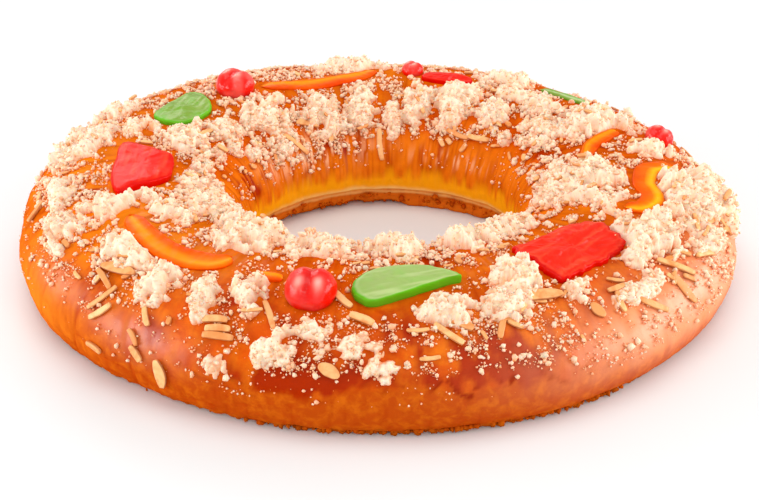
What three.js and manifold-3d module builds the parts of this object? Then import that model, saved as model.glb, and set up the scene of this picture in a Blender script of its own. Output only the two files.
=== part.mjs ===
// Roscon de reyes: an oval ring of sweet bread baked in one piece, with moist sugar heaps and slivered almonds
// baked onto it, and candied cherries, slices and strips of peel set into its top. Millimetres, +Z up. The ring
// rests on its flat base at z = 0 and the origin is under the middle of its outline.
//
// Places on the dough are two angles in degrees. turn goes round the ring, from +X towards +Y. over goes round
// the dough's section: 0 is the outermost side, 90 the crest, 180 the side of the hole, and -90 and 270 are
// the two edges of the flat base.

import * as THREE from 'three';
import Module from 'manifold-3d';

const wasm = await Module();
wasm.setup();

// ---- the baked ring

const middleLong = 104.5;      // half the long axis of the oval down the middle of the dough
const middleShort = 85.7;      // half its short axis
const ovalCentre = { x: 1.6, y: 0.8 };   // moves the uneven outline's middle onto the origin
const halfWidth = 45.3;        // of the dough, from its middle to its side
const crestHeight = 44;
const beltLevel = 0.36;        // the widest level, as a share of the height
const fullness = 0.12;         // how far the shoulders swell past a plain oval section
const tuck = 0.19;             // how far the side comes in again at the foot
// How the width and the height vary round the ring: shares of cos, sin, cos twice and sin twice the turn.
const widthChange = [-0.039, -0.010, 0.028, -0.033];
const heightChange = [-0.041, 0.029, 0, 0];
// Slow swells round the ring: how many, where they start in radians, and their height as a share of the dough.
const swells = [[3, 0.6, 0.010], [5, 2.1, 0.008], [8, 4, 0.007]];
const folds = { count: 21, wander: 1.3, height: 0.007 };          // upright folds on both flanks
const leaningFolds = { count: 13, lean: 0.04, height: 0.004 };
const ringSteps = 96;
const flankLevels = [10, -5, -30, -60, -89.9];   // over, from the shoulder down to the flat base
const topFrom = 17;            // over, of the first level that carries sugar
const topTo = 164;             // and of the last
const topStep = 7;

// ---- what lies on it

const seatGap = 0.35;          // clear space between a candied fruit and the crust round it
const fruitSink = 1.2;         // how deep a slice or strip sits in the crust
const cutAbove = 14;           // height to which sugar is kept clear above a fruit
const sliceThickness = 3.6;
const stripThickness = 2.6;
const cherryRadius = 9.5;
const cherryLift = 0.3;        // of its middle above the crust, as a share of its radius
const cherryPress = 0.86;      // its height as a share of its width
const foldDepth = 0.2;         // of the crease over a cherry, as a share of its radius
const foldWidth = 0.3;         // from the middle of the crease, as a share of the radius
const lumpRoughness = 0.55;    // how much the lumps of a sugar heap differ in height, as a share of it
const stickThickness = 2.2;
const crumbCount = 14;
const footCrumbCount = 6;
const looseStickCount = 4;

const rad = THREE.MathUtils.degToRad;

// A repeatable number from 0 to 1 for each pair of whole numbers.
function pick(index, salt) {
  const value = Math.sin(index * 12.9898 + salt * 78.233) * 43758.5453;
  return value - Math.floor(value);
}

// Slow swells of the hand-shaped dough, and the folds on its two flanks, as a share of the section.
function swell(turn, over) {
  const t = rad(turn);
  const flank = Math.cos(rad(over)) ** 2;
  const slow = swells.reduce((sum, [count, start, height]) => sum + height * Math.sin(count * t + start), 0);
  const upright = folds.height * Math.sin(folds.count * t + folds.wander * Math.sin(2 * t));
  const leaning = leaningFolds.height * Math.sin(leaningFolds.count * t + leaningFolds.lean * over);
  return 1 + slow + flank * (upright + leaning);
}

// A measure of the dough with its slow change round the ring.
function varied(size, t, [cosOnce, sinOnce, cosTwice, sinTwice]) {
  const once = cosOnce * Math.cos(t) + sinOnce * Math.sin(t);
  const twice = cosTwice * Math.cos(2 * t) + sinTwice * Math.sin(2 * t);
  return size * (1 + once + twice);
}

// A point of the baked dough's skin. Above the belt the section is an oval with full shoulders, below it a
// quarter oval that tucks in to the flat base. Width and height vary slowly round the ring.
function skin(turn, over) {
  const t = rad(turn);
  const level = Math.sin(rad(over));
  const side = Math.cos(rad(over));
  const width = varied(halfWidth, t, widthChange);
  const height = varied(crestHeight, t, heightChange);
  const grown = swell(turn, over);
  const reach = level >= 0
    ? side * (1 + fullness * level ** 2)
    : Math.sign(side) * (1 - tuck + tuck * Math.abs(side));
  const rise = level >= 0 ? beltLevel + (1 - beltLevel) * level : beltLevel * (1 + level);
  const outward = new THREE.Vector2(middleShort * Math.cos(t), middleLong * Math.sin(t)).normalize();
  return new THREE.Vector3(
    ovalCentre.x + middleLong * Math.cos(t) + outward.x * reach * width * grown,
    ovalCentre.y + middleShort * Math.sin(t) + outward.y * reach * width * grown,
    rise * height * grown,
  );
}

// The skin's point with its outward normal and two directions along it: round the ring, and inwards over it.
function seat(turn, over) {
  const step = 0.5;
  const ahead = skin(turn + step, over).sub(skin(turn - step, over)).normalize();
  const up = skin(turn, over + step).sub(skin(turn, over - step)).normalize();
  const out = new THREE.Vector3().crossVectors(ahead, up).normalize();
  return { at: skin(turn, over), out, ahead, inward: new THREE.Vector3().crossVectors(out, ahead) };
}

// A point at a height above the skin.
function above(turn, over, height) {
  const { at, out } = seat(turn, over);
  return at.addScaledVector(out, height);
}

// ---- closed bodies

function signedVolume(points, faces) {
  const volumes = faces.map(([a, b, c]) => points[a].dot(points[b].clone().cross(points[c])));
  return volumes.reduce((sum, volume) => sum + volume, 0);
}

function bodyFromFaces(points, faces) {
  const inward = signedVolume(points, faces) < 0;
  const index = inward ? faces.flatMap(([a, b, c]) => [a, c, b]) : faces.flat();
  const geometry = new THREE.BufferGeometry().setFromPoints(points);
  geometry.setIndex(index);
  return geometry;
}

// Rings of equally many points, stacked from one end point to the other and joined by triangles.
function bodyFromRings(first, rings, last) {
  const count = rings[0].length;
  const points = [first, ...rings.flat(), last];
  const end = points.length - 1;
  const at = (ring, place) => 1 + ring * count + (place % count);
  const faces = [];
  for (let place = 0; place < count; place += 1) {
    faces.push([0, at(0, place + 1), at(0, place)]);
    for (let ring = 0; ring + 1 < rings.length; ring += 1) {
      faces.push([at(ring, place), at(ring, place + 1), at(ring + 1, place + 1)]);
      faces.push([at(ring, place), at(ring + 1, place + 1), at(ring + 1, place)]);
    }
    faces.push([end, at(rings.length - 1, place), at(rings.length - 1, place + 1)]);
  }
  return bodyFromFaces(points, faces);
}

// The levels of the section, from the outer edge of the base over the crest to the edge at the hole.
function sectionLevels() {
  const outer = [...flankLevels].reverse();
  const top = [];
  for (let over = topFrom; over <= topTo; over += topStep) {
    top.push(over);
  }
  return [...outer, ...top, ...flankLevels.map((over) => 180 - over)];
}

// The dough with its sugar heaps, as one closed net round the ring and round its section. Its net is fine
// enough for a corner on every lump.
function doughBody() {
  const levels = sectionLevels();
  const points = [];
  const faces = [];
  for (let step = 0; step < ringSteps; step += 1) {
    levels.forEach((over, level) => {
      const turn = (360 * step) / ringSteps;
      const point = above(turn, over, sugarHeight(turn, over, pick(step, level)));
      const onBase = level === 0 || level === levels.length - 1;
      points.push(onBase ? point.setZ(0) : point);
      const next = (step + 1) % ringSteps;
      const upper = (level + 1) % levels.length;
      const corners = [[step, level], [next, level], [next, upper], [step, upper]];
      const [a, b, c, d] = corners.map(([along, round]) => along * levels.length + round);
      faces.push([a, b, c], [a, c, d]);
    });
  }
  return bodyFromFaces(points, faces);
}

// ---- candied fruits

// A slice cut flat from candied fruit: its outline is a smooth loop through a few places on the dough, with a
// point halfway between each two of them, its face is slightly rippled, and its cut edge is steep with rounded
// corners. grow and tall give the straight-sided, slightly larger body that clears a seat for it.
function sliceBody(outline, form) {
  const { thickness = sliceThickness, ripple = 0.35, grow = 0, tall = 0 } = form;
  const sides = 2 * outline.length;
  const places = outline.map(([turn, over]) => new THREE.Vector3(turn, over, 0));
  const loop = new THREE.CatmullRomCurve3(places, true);
  const rim = loop.getPoints(sides).slice(0, sides);
  const middle = rim.reduce((sum, place) => sum.add(place), new THREE.Vector3()).divideScalar(sides);
  const ringAt = (share, height, wave) => rim.map((place) => {
    const far = skin(place.x, place.y).distanceTo(skin(middle.x, middle.y));
    const spot = middle.clone().lerp(place, share * (1 + grow / far));
    const rise = wave * Math.sin(0.9 * spot.x) * Math.cos(0.5 * spot.y);
    return above(spot.x, spot.y, height + rise);
  });
  const top = thickness - fruitSink + tall;
  const under = -fruitSink - grow;
  const rounded = [
    ringAt(0.95, under, 0),
    ringAt(1, under + 0.35 * thickness, 0),
    ringAt(0.98, top - 0.2 * thickness, 0),
    ringAt(0.9, top - 0.04 * thickness, 0),
    ringAt(0.5, top, ripple),
  ];
  const plain = [ringAt(1, under, 0), ringAt(1, top, 0)];
  return bodyFromRings(
    above(middle.x, middle.y, under),
    tall ? plain : rounded,
    above(middle.x, middle.y, top + ripple * 0.5),
  );
}

// A strip of candied peel: a rounded bar that follows a smooth path over the dough and tapers at its ends.
function stripBody(path, { width = 6, thickness = stripThickness, grow = 0, tall = 0 } = {}) {
  const course = new THREE.CatmullRomCurve3(path.map(([turn, over]) => new THREE.Vector3(turn, over, 0)));
  const stations = 2 + 2 * path.length;
  const halfWide = width / 2 + grow;
  const top = thickness - fruitSink + tall;
  const under = -fruitSink - grow;
  const stationAt = (share) => {
    const place = course.getPoint(share);
    const before = course.getPoint(Math.max(0, share - 0.02));
    const after = course.getPoint(Math.min(1, share + 0.02));
    const { at, out } = seat(place.x, place.y);
    const forward = skin(after.x, after.y).sub(skin(before.x, before.y)).normalize();
    const sideways = new THREE.Vector3().crossVectors(out, forward).normalize();
    return { at, out, forward, sideways };
  };
  const rounded = [[-1, 0.4], [-0.6, 1], [0.6, 1], [1, 0.4], [0.8, 0], [-0.8, 0]];
  const plain = [[-1, 0], [-1, 1], [1, 1], [1, 0]];
  const rings = [];
  for (let station = 0; station < stations; station += 1) {
    const share = station / (stations - 1);
    const taper = 0.55 + 0.45 * Math.sin(Math.PI * share) ** 0.5;
    const { at, out, sideways } = stationAt(share);
    rings.push((tall ? plain : rounded).map(([wide, high]) => at.clone()
      .addScaledVector(sideways, wide * halfWide * taper)
      .addScaledVector(out, under + high * (top - under))));
  }
  const capAt = (share, way) => {
    const { at, out, forward } = stationAt(share);
    const reach = 1.1 + 2.5 * grow;
    return at.addScaledVector(out, thickness / 2 - fruitSink).addScaledVector(forward, way * reach);
  };
  return bodyFromRings(capAt(0, -1), rings, capAt(1, 1));
}

// A candied cherry: a soft ball with a crease over its top and down two sides, sunk into the crust.
function cherryBody([turn, over], { radius = cherryRadius, foldWay = 0, grow = 0 } = {}) {
  const rounds = 11;             // points round the cherry
  const levels = 7;
  const { at, out, ahead, inward } = seat(turn, over);
  const centre = at.clone().addScaledVector(out, radius * cherryLift);
  const spot = (round, level) => {
    const polar = (Math.PI * level) / levels;
    const way = (2 * Math.PI * round) / rounds;
    const across = Math.sin(polar) * Math.sin(way - foldWay);
    const fold = foldDepth * Math.exp(-((across / foldWidth) ** 2)) * (0.5 + 0.5 * Math.cos(polar));
    const reach = radius * (1 - fold) + grow;
    return centre.clone()
      .addScaledVector(ahead, reach * Math.sin(polar) * Math.cos(way))
      .addScaledVector(inward, reach * Math.sin(polar) * Math.sin(way))
      .addScaledVector(out, cherryPress * reach * Math.cos(polar));
  };
  const rings = [];
  for (let level = 1; level < levels; level += 1) {
    rings.push(Array.from({ length: rounds }, (_, round) => spot(round, level)));
  }
  return bodyFromRings(spot(0, 0), rings, spot(0, levels));
}

const redFlesh = { color: 0xe8301c, roughness: 0.22, metalness: 0 };
const greenFlesh = { color: 0x8fc257, roughness: 0.28, metalness: 0 };
const orangePeel = { color: 0xf08a1c, roughness: 0.3, metalness: 0 };

// Each fruit: its node, how it is made, its places on the dough, its finish and what sets it apart.
const fruits = [
  { node: 'cherry_front', make: cherryBody, places: [257.5, 74], finish: redFlesh, form: { foldWay: 1.57 } },
  { node: 'cherry_back_left', make: cherryBody, places: [128, 88], finish: redFlesh,
    form: { radius: 8.8, foldWay: 0.3 } },
  { node: 'cherry_right', make: cherryBody, places: [16.5, 62], finish: redFlesh,
    form: { radius: 6.2, foldWay: 2 } },
  { node: 'cherry_back', make: cherryBody, places: [82, 80], finish: redFlesh,
    form: { radius: 5, foldWay: 0.9 } },
  { node: 'red_slice_left', make: sliceBody, finish: redFlesh, form: { thickness: 4.4 },
    places: [[171, 84], [171, 93], [172.5, 101], [174, 108], [182, 110.5], [190, 108.5], [194, 100],
      [195.3, 92], [197, 84.5], [190, 82.5], [180, 84]] },
  { node: 'red_slice_right', make: sliceBody, finish: redFlesh, form: { thickness: 3.8, ripple: 0.6 },
    places: [[301.5, 99], [306, 101.5], [312, 103.5], [317, 104], [322, 102], [326, 98], [328, 91],
      [326.5, 83], [325, 74], [318, 73], [311, 72], [305.5, 70], [303.5, 76], [303, 86]] },
  { node: 'red_slice_back', make: sliceBody, finish: redFlesh, form: { thickness: 3.2 },
    places: [[67, 84], [72, 81], [78, 83], [79, 90], [73, 93], [67, 90]] },
  { node: 'green_slice_left', make: sliceBody, finish: greenFlesh, form: { thickness: 3.4 },
    places: [[154, 84], [148, 81], [143, 80], [138.5, 78.5], [137, 84], [138, 93], [141, 100], [147, 102],
      [153, 100], [155.5, 93]] },
  { node: 'green_wedge_front', make: sliceBody, finish: greenFlesh, form: { thickness: 5.2, ripple: 0.2 },
    places: [[264.8, 78], [265.5, 73], [268.5, 69], [273, 73], [278, 78], [283, 82], [286, 83.5],
      [284.5, 87.5], [280, 93], [274, 94], [269, 91], [266, 85]] },
  { node: 'green_strip_right', make: stripBody, finish: greenFlesh, form: { width: 7 },
    places: [[38, 68], [44, 69], [51, 70]] },
  { node: 'orange_strip_left', make: stripBody, finish: orangePeel, form: { width: 11 },
    places: [[207, 83], [214, 81], [218.5, 80], [224, 78.5], [229, 79], [233, 81], [236, 84], [237.5, 90]] },
  { node: 'orange_strip_back', make: stripBody, finish: orangePeel, form: { width: 9 },
    places: [[121, 90], [114, 93.5], [107, 94.5], [100, 90], [94.5, 85], [91, 76]] },
  { node: 'orange_curl_right', make: stripBody, finish: orangePeel, form: { width: 10 },
    places: [[4, 66], [2, 76], [-0.5, 82], [-7.5, 84], [-11.5, 80.5], [-15, 79], [-19, 82], [-20.5, 89]] },
  { node: 'orange_strip_right', make: stripBody, finish: orangePeel, form: { width: 7 },
    places: [[12, 108], [17, 101], [20, 91], [22, 81]] },
  { node: 'orange_bit_front', make: stripBody, finish: orangePeel, form: { width: 5 },
    places: [[245.5, 82], [248, 82], [251, 82]] },
];

// ---- sugar and almonds

// Heaps of moist sugar: turn from and to, over from and to, and the height of the heap.
const heaps = [
  [181, 195, 50, 64, 5], [196, 207, 40, 60, 6], [197, 205, 60, 96, 6], [213, 224, 58, 78, 7],
  [226, 233, 48, 74, 7], [235.5, 242, 50, 72, 6], [243, 249.5, 54, 80, 7], [238, 243, 42, 56, 4],
  [243, 247, 12, 34, 3], [251, 257, 24, 52, 5], [257, 262, 44, 60, 4], [262, 268, 36, 54, 3],
  [267, 273, 22, 44, 3], [277, 287, 56, 74, 6], [288, 296, 52, 72, 6], [293, 303, 68, 92, 8],
  [304, 309, 58, 78, 5], [313, 326, 42, 56, 3], [321, 343, 56, 84, 8], [335, 346, 32, 58, 5],
  [344, 364, 26, 78, 8], [198, 222, 106, 142, 6], [206, 222, 90, 106, 5], [222, 246, 98, 142, 8],
  [246, 264, 102, 140, 6], [262, 284, 108, 140, 7], [284, 304, 112, 140, 7], [303, 324, 122, 146, 7],
  [332, 346, 86, 104, 5], [338, 374, 96, 142, 8], [8, 15, 60, 90, 5], [20, 36, 66, 106, 7],
  [30, 44, 100, 128, 4], [36, 58, 84, 100, 4], [42, 50, 122, 138, 5], [50, 60, 100, 130, 5],
  [52, 66, 60, 82, 5], [61, 73, 92, 132, 7], [74, 83, 98, 136, 7], [83, 89, 112, 142, 5],
  [88, 104, 56, 80, 5], [90, 100, 104, 142, 6], [100, 115, 108, 138, 6], [117, 139, 100, 128, 6],
  [120, 134, 130, 148, 3], [138, 152, 104, 142, 4], [150, 168, 99, 117, 5], [155, 178, 117, 131, 5],
  [153, 167, 78, 99, 5], [161, 176, 54, 76, 5], [180, 198, 112, 140, 4], [147, 160, 46, 66, 5],
  [160, 178, 36, 56, 5],
];

// How high the sugar stands over a place. In each heap it rises to the height given, steeply at the edge, and
// lump, from 0 to 1, says how far this corner falls short of it.
function sugarHeight(turn, over, lump) {
  const heights = heaps.map(([turnFrom, turnTo, overFrom, overTo, height]) => {
    const midTurn = (turnFrom + turnTo) / 2;
    const round = ((turn - midTurn + 540) % 360) - 180;
    const u = round / (0.6 * (turnTo - turnFrom));
    const v = (over - (overFrom + overTo) / 2) / (0.6 * (overTo - overFrom));
    const far = Math.hypot(u, v);
    return far < 1 ? height * (1 - far ** 3) * (1 - lumpRoughness * lump) : 0;
  });
  return Math.max(...heights);
}

// Slivered and sliced almonds that lie alone: turn and over of both ends, and the width.
const almonds = [
  [217, 53, 224, 58, 5], [217, 50, 222, 44, 2.4], [220, 26, 223, 47, 2.2], [221, 21, 224, 36, 2.6],
  [221, 1, 224, -2, 2.4], [229, 26, 231, 17, 2.2], [230, 15, 232, 6, 3], [235, 12, 236, -20, 5.4],
  [230, 43, 232, 33, 2.4], [191, 33, 188, 46, 2.6], [211, 106, 220, 103, 2.6], [241, 47, 245, 50, 3],
  [242, 42, 246, 45, 3], [242, 38, 247, 40, 2.8], [250, 65, 253, 50, 2.4], [262, 76, 265, 68, 3],
  [265, 63, 269, 58, 3.4], [261, 31, 264, 24, 5], [279, 65, 285, 52, 3.8], [279, 57, 283, 44, 2.6],
  [291, 58, 289, 45, 2.6], [295, 66, 303, 63, 5.4], [307, 53, 308, 43, 5], [313, 54, 312, 41, 2.6],
  [316, 44, 320, 28, 2.8], [326, 47, 327, 20, 4.6], [326, 58, 330, 37, 2.8], [349, 41, 348, 26, 2.6],
  [67, 135, 59, 138, 2.4], [59, 136, 51, 135, 2.6], [157, 110, 147, 112, 2.8], [125, 134, 118, 152, 2.4],
  [118, 127, 111, 132, 2.6], [90, 138, 89, 164, 2.6],
];

// A stick of almond between two places, bluntly tapered, lying on the skin.
function stickBody([turn, over, endTurn, endOver, width]) {
  const halfWide = width / 2;
  const halfHigh = stickThickness / 2;
  const section = [[-0.8, 0.9], [0.8, 1], [1, -1], [-1, -0.8]];
  const ends = [0, 0.5, 1].map((share) => {
    const lie = seat(turn + (endTurn - turn) * share, over + (endOver - over) * share);
    return { ...lie, at: lie.at.addScaledVector(lie.out, halfHigh * 0.7) };
  });
  const forward = ends[2].at.clone().sub(ends[0].at).normalize();
  const rings = ends.map(({ at, out }, station) => {
    const sideways = new THREE.Vector3().crossVectors(out, forward).normalize();
    const taper = station === 1 ? 1 : 0.72;
    return section.map(([wide, high]) => at.clone()
      .addScaledVector(sideways, wide * halfWide * taper)
      .addScaledVector(out, high * halfHigh * taper));
  });
  const tipAt = (at, way) => at.clone().addScaledVector(forward, way * 0.5);
  return bodyFromRings(tipAt(ends[0].at, -1), rings, tipAt(ends[2].at, 1));
}

// A crumb: a blunt eight-sided grain with every corner pulled in or out, half sunk in the dough.
function crumbBody(turn, over, radius, salt) {
  const { at, out, ahead, inward } = seat(turn, over);
  const corner = (along, across, up, place) => at.clone()
    .addScaledVector(ahead, along * radius * (0.75 + 0.5 * pick(place, salt)))
    .addScaledVector(inward, across * radius * (0.75 + 0.5 * pick(place + 4, salt)))
    .addScaledVector(out, up * radius + 0.3);
  const belt = [corner(1, 0.2, 0, 0), corner(-0.2, 1, 0, 1), corner(-1, -0.2, 0, 2), corner(0.2, -1, 0, 3)];
  return bodyFromRings(corner(0, 0, -0.9, 4), [belt], corner(0.2, 0.1, 0.9, 5));
}

// Loose crumbs, spread by the golden angle: most over the top, fewer down the outer flank.
function crumbBodies() {
  return Array.from({ length: crumbCount }, (_, crumb) => {
    const over = 14 + 134 * pick(crumb, 5) ** 0.8;
    return crumbBody((crumb * 137.508) % 360, over, 1.8 + 1.1 * pick(crumb, 6), crumb);
  });
}

// Toasted crumbs caught under the front edge.
function footCrumbBodies() {
  return Array.from({ length: footCrumbCount }, (_, crumb) => (
    crumbBody(271 + 4.5 * crumb, -38 - 6 * pick(crumb, 7), 1.8 + 0.8 * pick(crumb, 8), crumb)));
}

// Almond sticks among the sugar, lying any way.
function looseStickBodies() {
  return Array.from({ length: looseStickCount }, (_, stick) => {
    const turn = (stick * 137.508 + 20) % 360;
    const over = 30 + 105 * pick(stick, 9);
    const way = Math.PI * pick(stick, 10);
    const reach = 4 + 2.5 * pick(stick, 11);
    const endTurn = turn + 0.57 * reach * Math.cos(way);
    return stickBody([turn, over, endTurn, over + 1.25 * reach * Math.sin(way), 2.4]);
  });
}

// ---- joining and cutting

function toSolid(geometry) {
  return new wasm.Manifold(new wasm.Mesh({
    numProp: 3,
    vertProperties: new Float32Array(geometry.getAttribute('position').array),
    triVerts: new Uint32Array(geometry.getIndex().array),
  }));
}

function toGeometry(solid) {
  const { vertProperties, triVerts } = solid.getMesh();
  const geometry = new THREE.BufferGeometry();
  geometry.setAttribute('position', new THREE.BufferAttribute(vertProperties, 3));
  geometry.setIndex(new THREE.BufferAttribute(triVerts, 1));
  return geometry;
}

// The dough with all that is baked onto it, cut clear of the fruits. Only the largest body is kept: what the
// cuts leave loose is dropped, and a hollow sealed under a stick is filled.
function crustGeometry() {
  const sticks = [...almonds.map(stickBody), ...looseStickBodies()];
  const bakedOn = [...sticks, ...crumbBodies(), ...footCrumbBodies()].map(toSolid);
  let solids = [toSolid(doughBody()), ...bakedOn];
  while (solids.length > 1) {
    solids = solids.flatMap((solid, place) => {
      if (place % 2 === 1) {
        return [];
      }
      return place + 1 < solids.length ? [solid.add(solids[place + 1])] : [solid];
    });
  }
  const cutters = fruits.map(({ make, places, form }) => (
    toSolid(make(places, { ...form, grow: seatGap, tall: cutAbove }))));
  const crust = cutters.reduce((solid, cutter) => solid.subtract(cutter), solids[0]);
  const bodies = crust.decompose().sort((one, other) => other.volume() - one.volume());
  return toGeometry(bodies[0]);
}

function namedMesh(node, geometry, finish) {
  const mesh = new THREE.Mesh(geometry, new THREE.MeshStandardMaterial(finish));
  mesh.name = node;
  return mesh;
}

const group = new THREE.Group();
group.add(namedMesh('crust', crustGeometry(), { color: 0xc8631c, roughness: 0.38, metalness: 0 }));
for (const { node, make, places, finish, form } of fruits) {
  group.add(namedMesh(node, make(places, form), finish));
}

export default group;
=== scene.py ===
import bpy
import numpy as np
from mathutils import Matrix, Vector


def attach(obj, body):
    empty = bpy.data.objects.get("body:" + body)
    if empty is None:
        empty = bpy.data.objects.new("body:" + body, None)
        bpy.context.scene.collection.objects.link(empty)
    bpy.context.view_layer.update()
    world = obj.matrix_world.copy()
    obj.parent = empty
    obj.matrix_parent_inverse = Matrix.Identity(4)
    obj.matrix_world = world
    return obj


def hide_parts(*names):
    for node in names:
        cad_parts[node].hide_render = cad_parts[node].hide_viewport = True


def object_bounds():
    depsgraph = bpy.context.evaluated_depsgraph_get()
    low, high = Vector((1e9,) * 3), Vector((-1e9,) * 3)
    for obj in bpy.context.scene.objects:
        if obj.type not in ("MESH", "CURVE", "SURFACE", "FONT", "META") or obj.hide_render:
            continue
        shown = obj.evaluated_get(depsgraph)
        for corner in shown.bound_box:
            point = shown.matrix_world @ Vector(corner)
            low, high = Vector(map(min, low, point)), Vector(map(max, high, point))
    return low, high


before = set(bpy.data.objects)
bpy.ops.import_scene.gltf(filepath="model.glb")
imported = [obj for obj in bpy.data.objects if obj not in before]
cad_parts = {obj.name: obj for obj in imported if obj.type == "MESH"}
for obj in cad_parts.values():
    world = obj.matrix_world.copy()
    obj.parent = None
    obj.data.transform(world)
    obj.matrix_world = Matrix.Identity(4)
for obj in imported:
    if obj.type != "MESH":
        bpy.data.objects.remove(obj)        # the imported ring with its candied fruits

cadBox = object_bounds()
mm = 0.001               # shapes are worked out in millimetres and meshed in metres
print("frame loaded:", len(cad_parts), "nodes")


# Unit length along the last axis.
def unit(vectors):
    return vectors / np.linalg.norm(vectors, axis=-1, keepdims=True)


# A screen colour from 0 to 255 as the linear colour that a shader wants.
def srgb(red, green, blue):
    value = np.array([red, green, blue]) / 255
    linear = np.where(value <= 0.04045, value / 12.92, ((value + 0.055) / 1.055) ** 2.4)
    return (*(float(channel) for channel in linear), 1.0)


# 0 below low, 1 above high, and an s-curve between.
def ease(value, low, high):
    part = np.clip((value - low) / (high - low), 0, 1)
    return part * part * (3 - 2 * part)


# Up along one s-curve and down again along another.
def band(value, start, full, fall, end):
    return ease(value, start, full) * (1 - ease(value, fall, end))


# A bell curve: 1 at the middle and a third of that at its half width.
def bell(value, middle, half):
    return np.exp(-((value - middle) / half) ** 2)


# How far a turn is from another, the short way round.
def turnsFrom(turn, middle):
    return (turn - middle + 180) % 360 - 180


tableSize = 65536
randomTable = np.random.default_rng(41).random(tableSize)
latticeShift = 512.37    # keeps the lattice's own planes away from the ring's


# The lattice of cells that points lie in: each point's place, counted in cells, and its cell's corner.
def latticePlace(points, cell):
    place = np.asarray(points, float) / cell + latticeShift
    return place, np.floor(place).astype(np.int64)


# A whole number for each corner of the lattice, by which the random table is read.
def cornerCode(corner, seed):
    x, y, z = np.moveaxis(corner, -1, 0)
    return x * 73856093 ^ y * 19349663 ^ z * 83492791 ^ seed * 7919


# Smooth noise from -1 to 1: a random number at each corner of a lattice of cells, blended along an s-curve
# in x, y and z.
def softNoise(points, cell, seed):
    place, corner = latticePlace(points, cell)
    part = place - corner
    part = part * part * (3 - 2 * part)
    total = np.zeros(place.shape[:-1])
    for step in np.ndindex(2, 2, 2):
        weight = np.prod(np.where(np.array(step) == 1, part, 1 - part), axis=-1)
        total += randomTable[cornerCode(corner + step, seed) % tableSize] * weight
    return 2 * total - 1


# Several noises added, each given by its share, cell and seed.
def noises(points, *parts):
    return sum(share * softNoise(points, cell, seed) for share, cell, seed in parts)


# Rounded crumbs packed side by side: 1 at the middle of a crumb and less with the square of the distance from
# it, down to 0 one cell away. Each cell of a lattice holds one crumb, at a random place in it.
def packedCrumbs(points, cell, seed):
    place, corner = latticePlace(points, cell)
    nearest = np.full(place.shape[:-1], 1.0)
    for step in np.ndindex(3, 3, 3):
        here = corner + step - 1
        code = cornerCode(here, seed)
        middle = here + 0.15 + 0.7 * np.stack([randomTable[code * odd % tableSize] for odd in (1, 7, 13)], -1)
        nearest = np.minimum(nearest, np.sum((middle - place) ** 2, -1))
    return 1 - nearest


turnArc, overArc = 120, 45    # millimetres of dough to a radian of turn and of over


# Noise drawn out along the section, for streaks: its cells are so many to a radian round the ring and so long
# in millimetres over it, and a slant leans them over.
def drawnNoise(turn, over, fineness, length, seed, slant=0.0):
    angle = np.radians(turn)
    across = np.radians(over) * overArc / length + slant * angle
    return softNoise(np.stack([np.cos(angle) * fineness, np.sin(angle) * fineness, across], -1), 1.0, seed)


# Quads of a net of rows by columns of points, closed on itself along either way if asked.
def netFaces(rows, columns, closeRows=False, closeColumns=False):
    row, column = np.meshgrid(np.arange(rows if closeRows else rows - 1),
                              np.arange(columns if closeColumns else columns - 1), indexing="ij")
    nextRow, nextColumn = (row + 1) % rows, (column + 1) % columns
    corners = [row * columns + column, nextRow * columns + column,
               nextRow * columns + nextColumn, row * columns + nextColumn]
    return np.stack(corners, -1).reshape(-1, 4)


# Triangles of a stack of rings between a first and a last point: the points are the first, the rings in
# order, then the last.
def stackFaces(rings, around):
    ring, place = np.meshgrid(np.arange(rings - 1), np.arange(around), indexing="ij")
    after = (place + 1) % around
    low, high = 1 + ring * around, 1 + (ring + 1) * around
    sides = np.stack([np.stack([low + place, low + after, high + after], -1),
                      np.stack([low + place, high + after, high + place], -1)]).reshape(-1, 3)
    rim = np.arange(around)
    nextRim = (rim + 1) % around
    end = 1 + rings * around
    first = np.stack([np.zeros_like(rim), 1 + nextRim, 1 + rim], -1)
    last = np.stack([np.full_like(rim, end), end - around + rim, end - around + nextRim], -1)
    return np.concatenate([first, sides, last])


# A new object in the scene.
def addObject(name, data):
    item = bpy.data.objects.new(name, data)
    bpy.context.scene.collection.objects.link(item)
    return item


# A mask of a stack of rings as one value a point, with those of the first and the last point.
def padded(mask, around, first=0.0, last=0.0):
    rings = np.broadcast_to(mask, (len(mask), around))
    return np.concatenate([[first], rings.ravel(), [last]])


# A mesh object from points in millimetres, kept within the box of the solids. A closed net that came out
# inside out, by the sign of its volume, is turned round.
def makePiece(name, points, faces, material, slot, nodes=(), masks=None, flat=False):
    points = np.clip(points, *(np.array(corner) / mm for corner in cadBox))
    first, *others = (points[faces[:, corner]] for corner in range(faces.shape[1]))
    volume = sum(np.sum(first * np.cross(second, third)) for second, third in zip(others, others[1:]))
    if volume < 0:
        faces = faces[:, ::-1]
    mesh = bpy.data.meshes.new(name)
    mesh.vertices.add(len(points))
    mesh.vertices.foreach_set("co", (points * mm).astype(np.float32).ravel())
    mesh.loops.add(faces.size)
    mesh.loops.foreach_set("vertex_index", faces.astype(np.int32).ravel())
    mesh.polygons.add(len(faces))
    mesh.polygons.foreach_set("loop_start", np.arange(0, faces.size, faces.shape[1], dtype=np.int32))
    mesh.update(calc_edges=True)
    mesh.validate()
    if not flat:
        mesh.shade_smooth()
    for title, values in (masks or {}).items():
        layer = mesh.attributes.new(title, "FLOAT", "POINT")
        layer.data.foreach_set("value", np.asarray(values, np.float32).ravel())
    mesh.materials.append(material)
    piece = addObject(name, mesh)
    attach(piece, "root")
    if nodes:
        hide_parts(*nodes)


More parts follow.
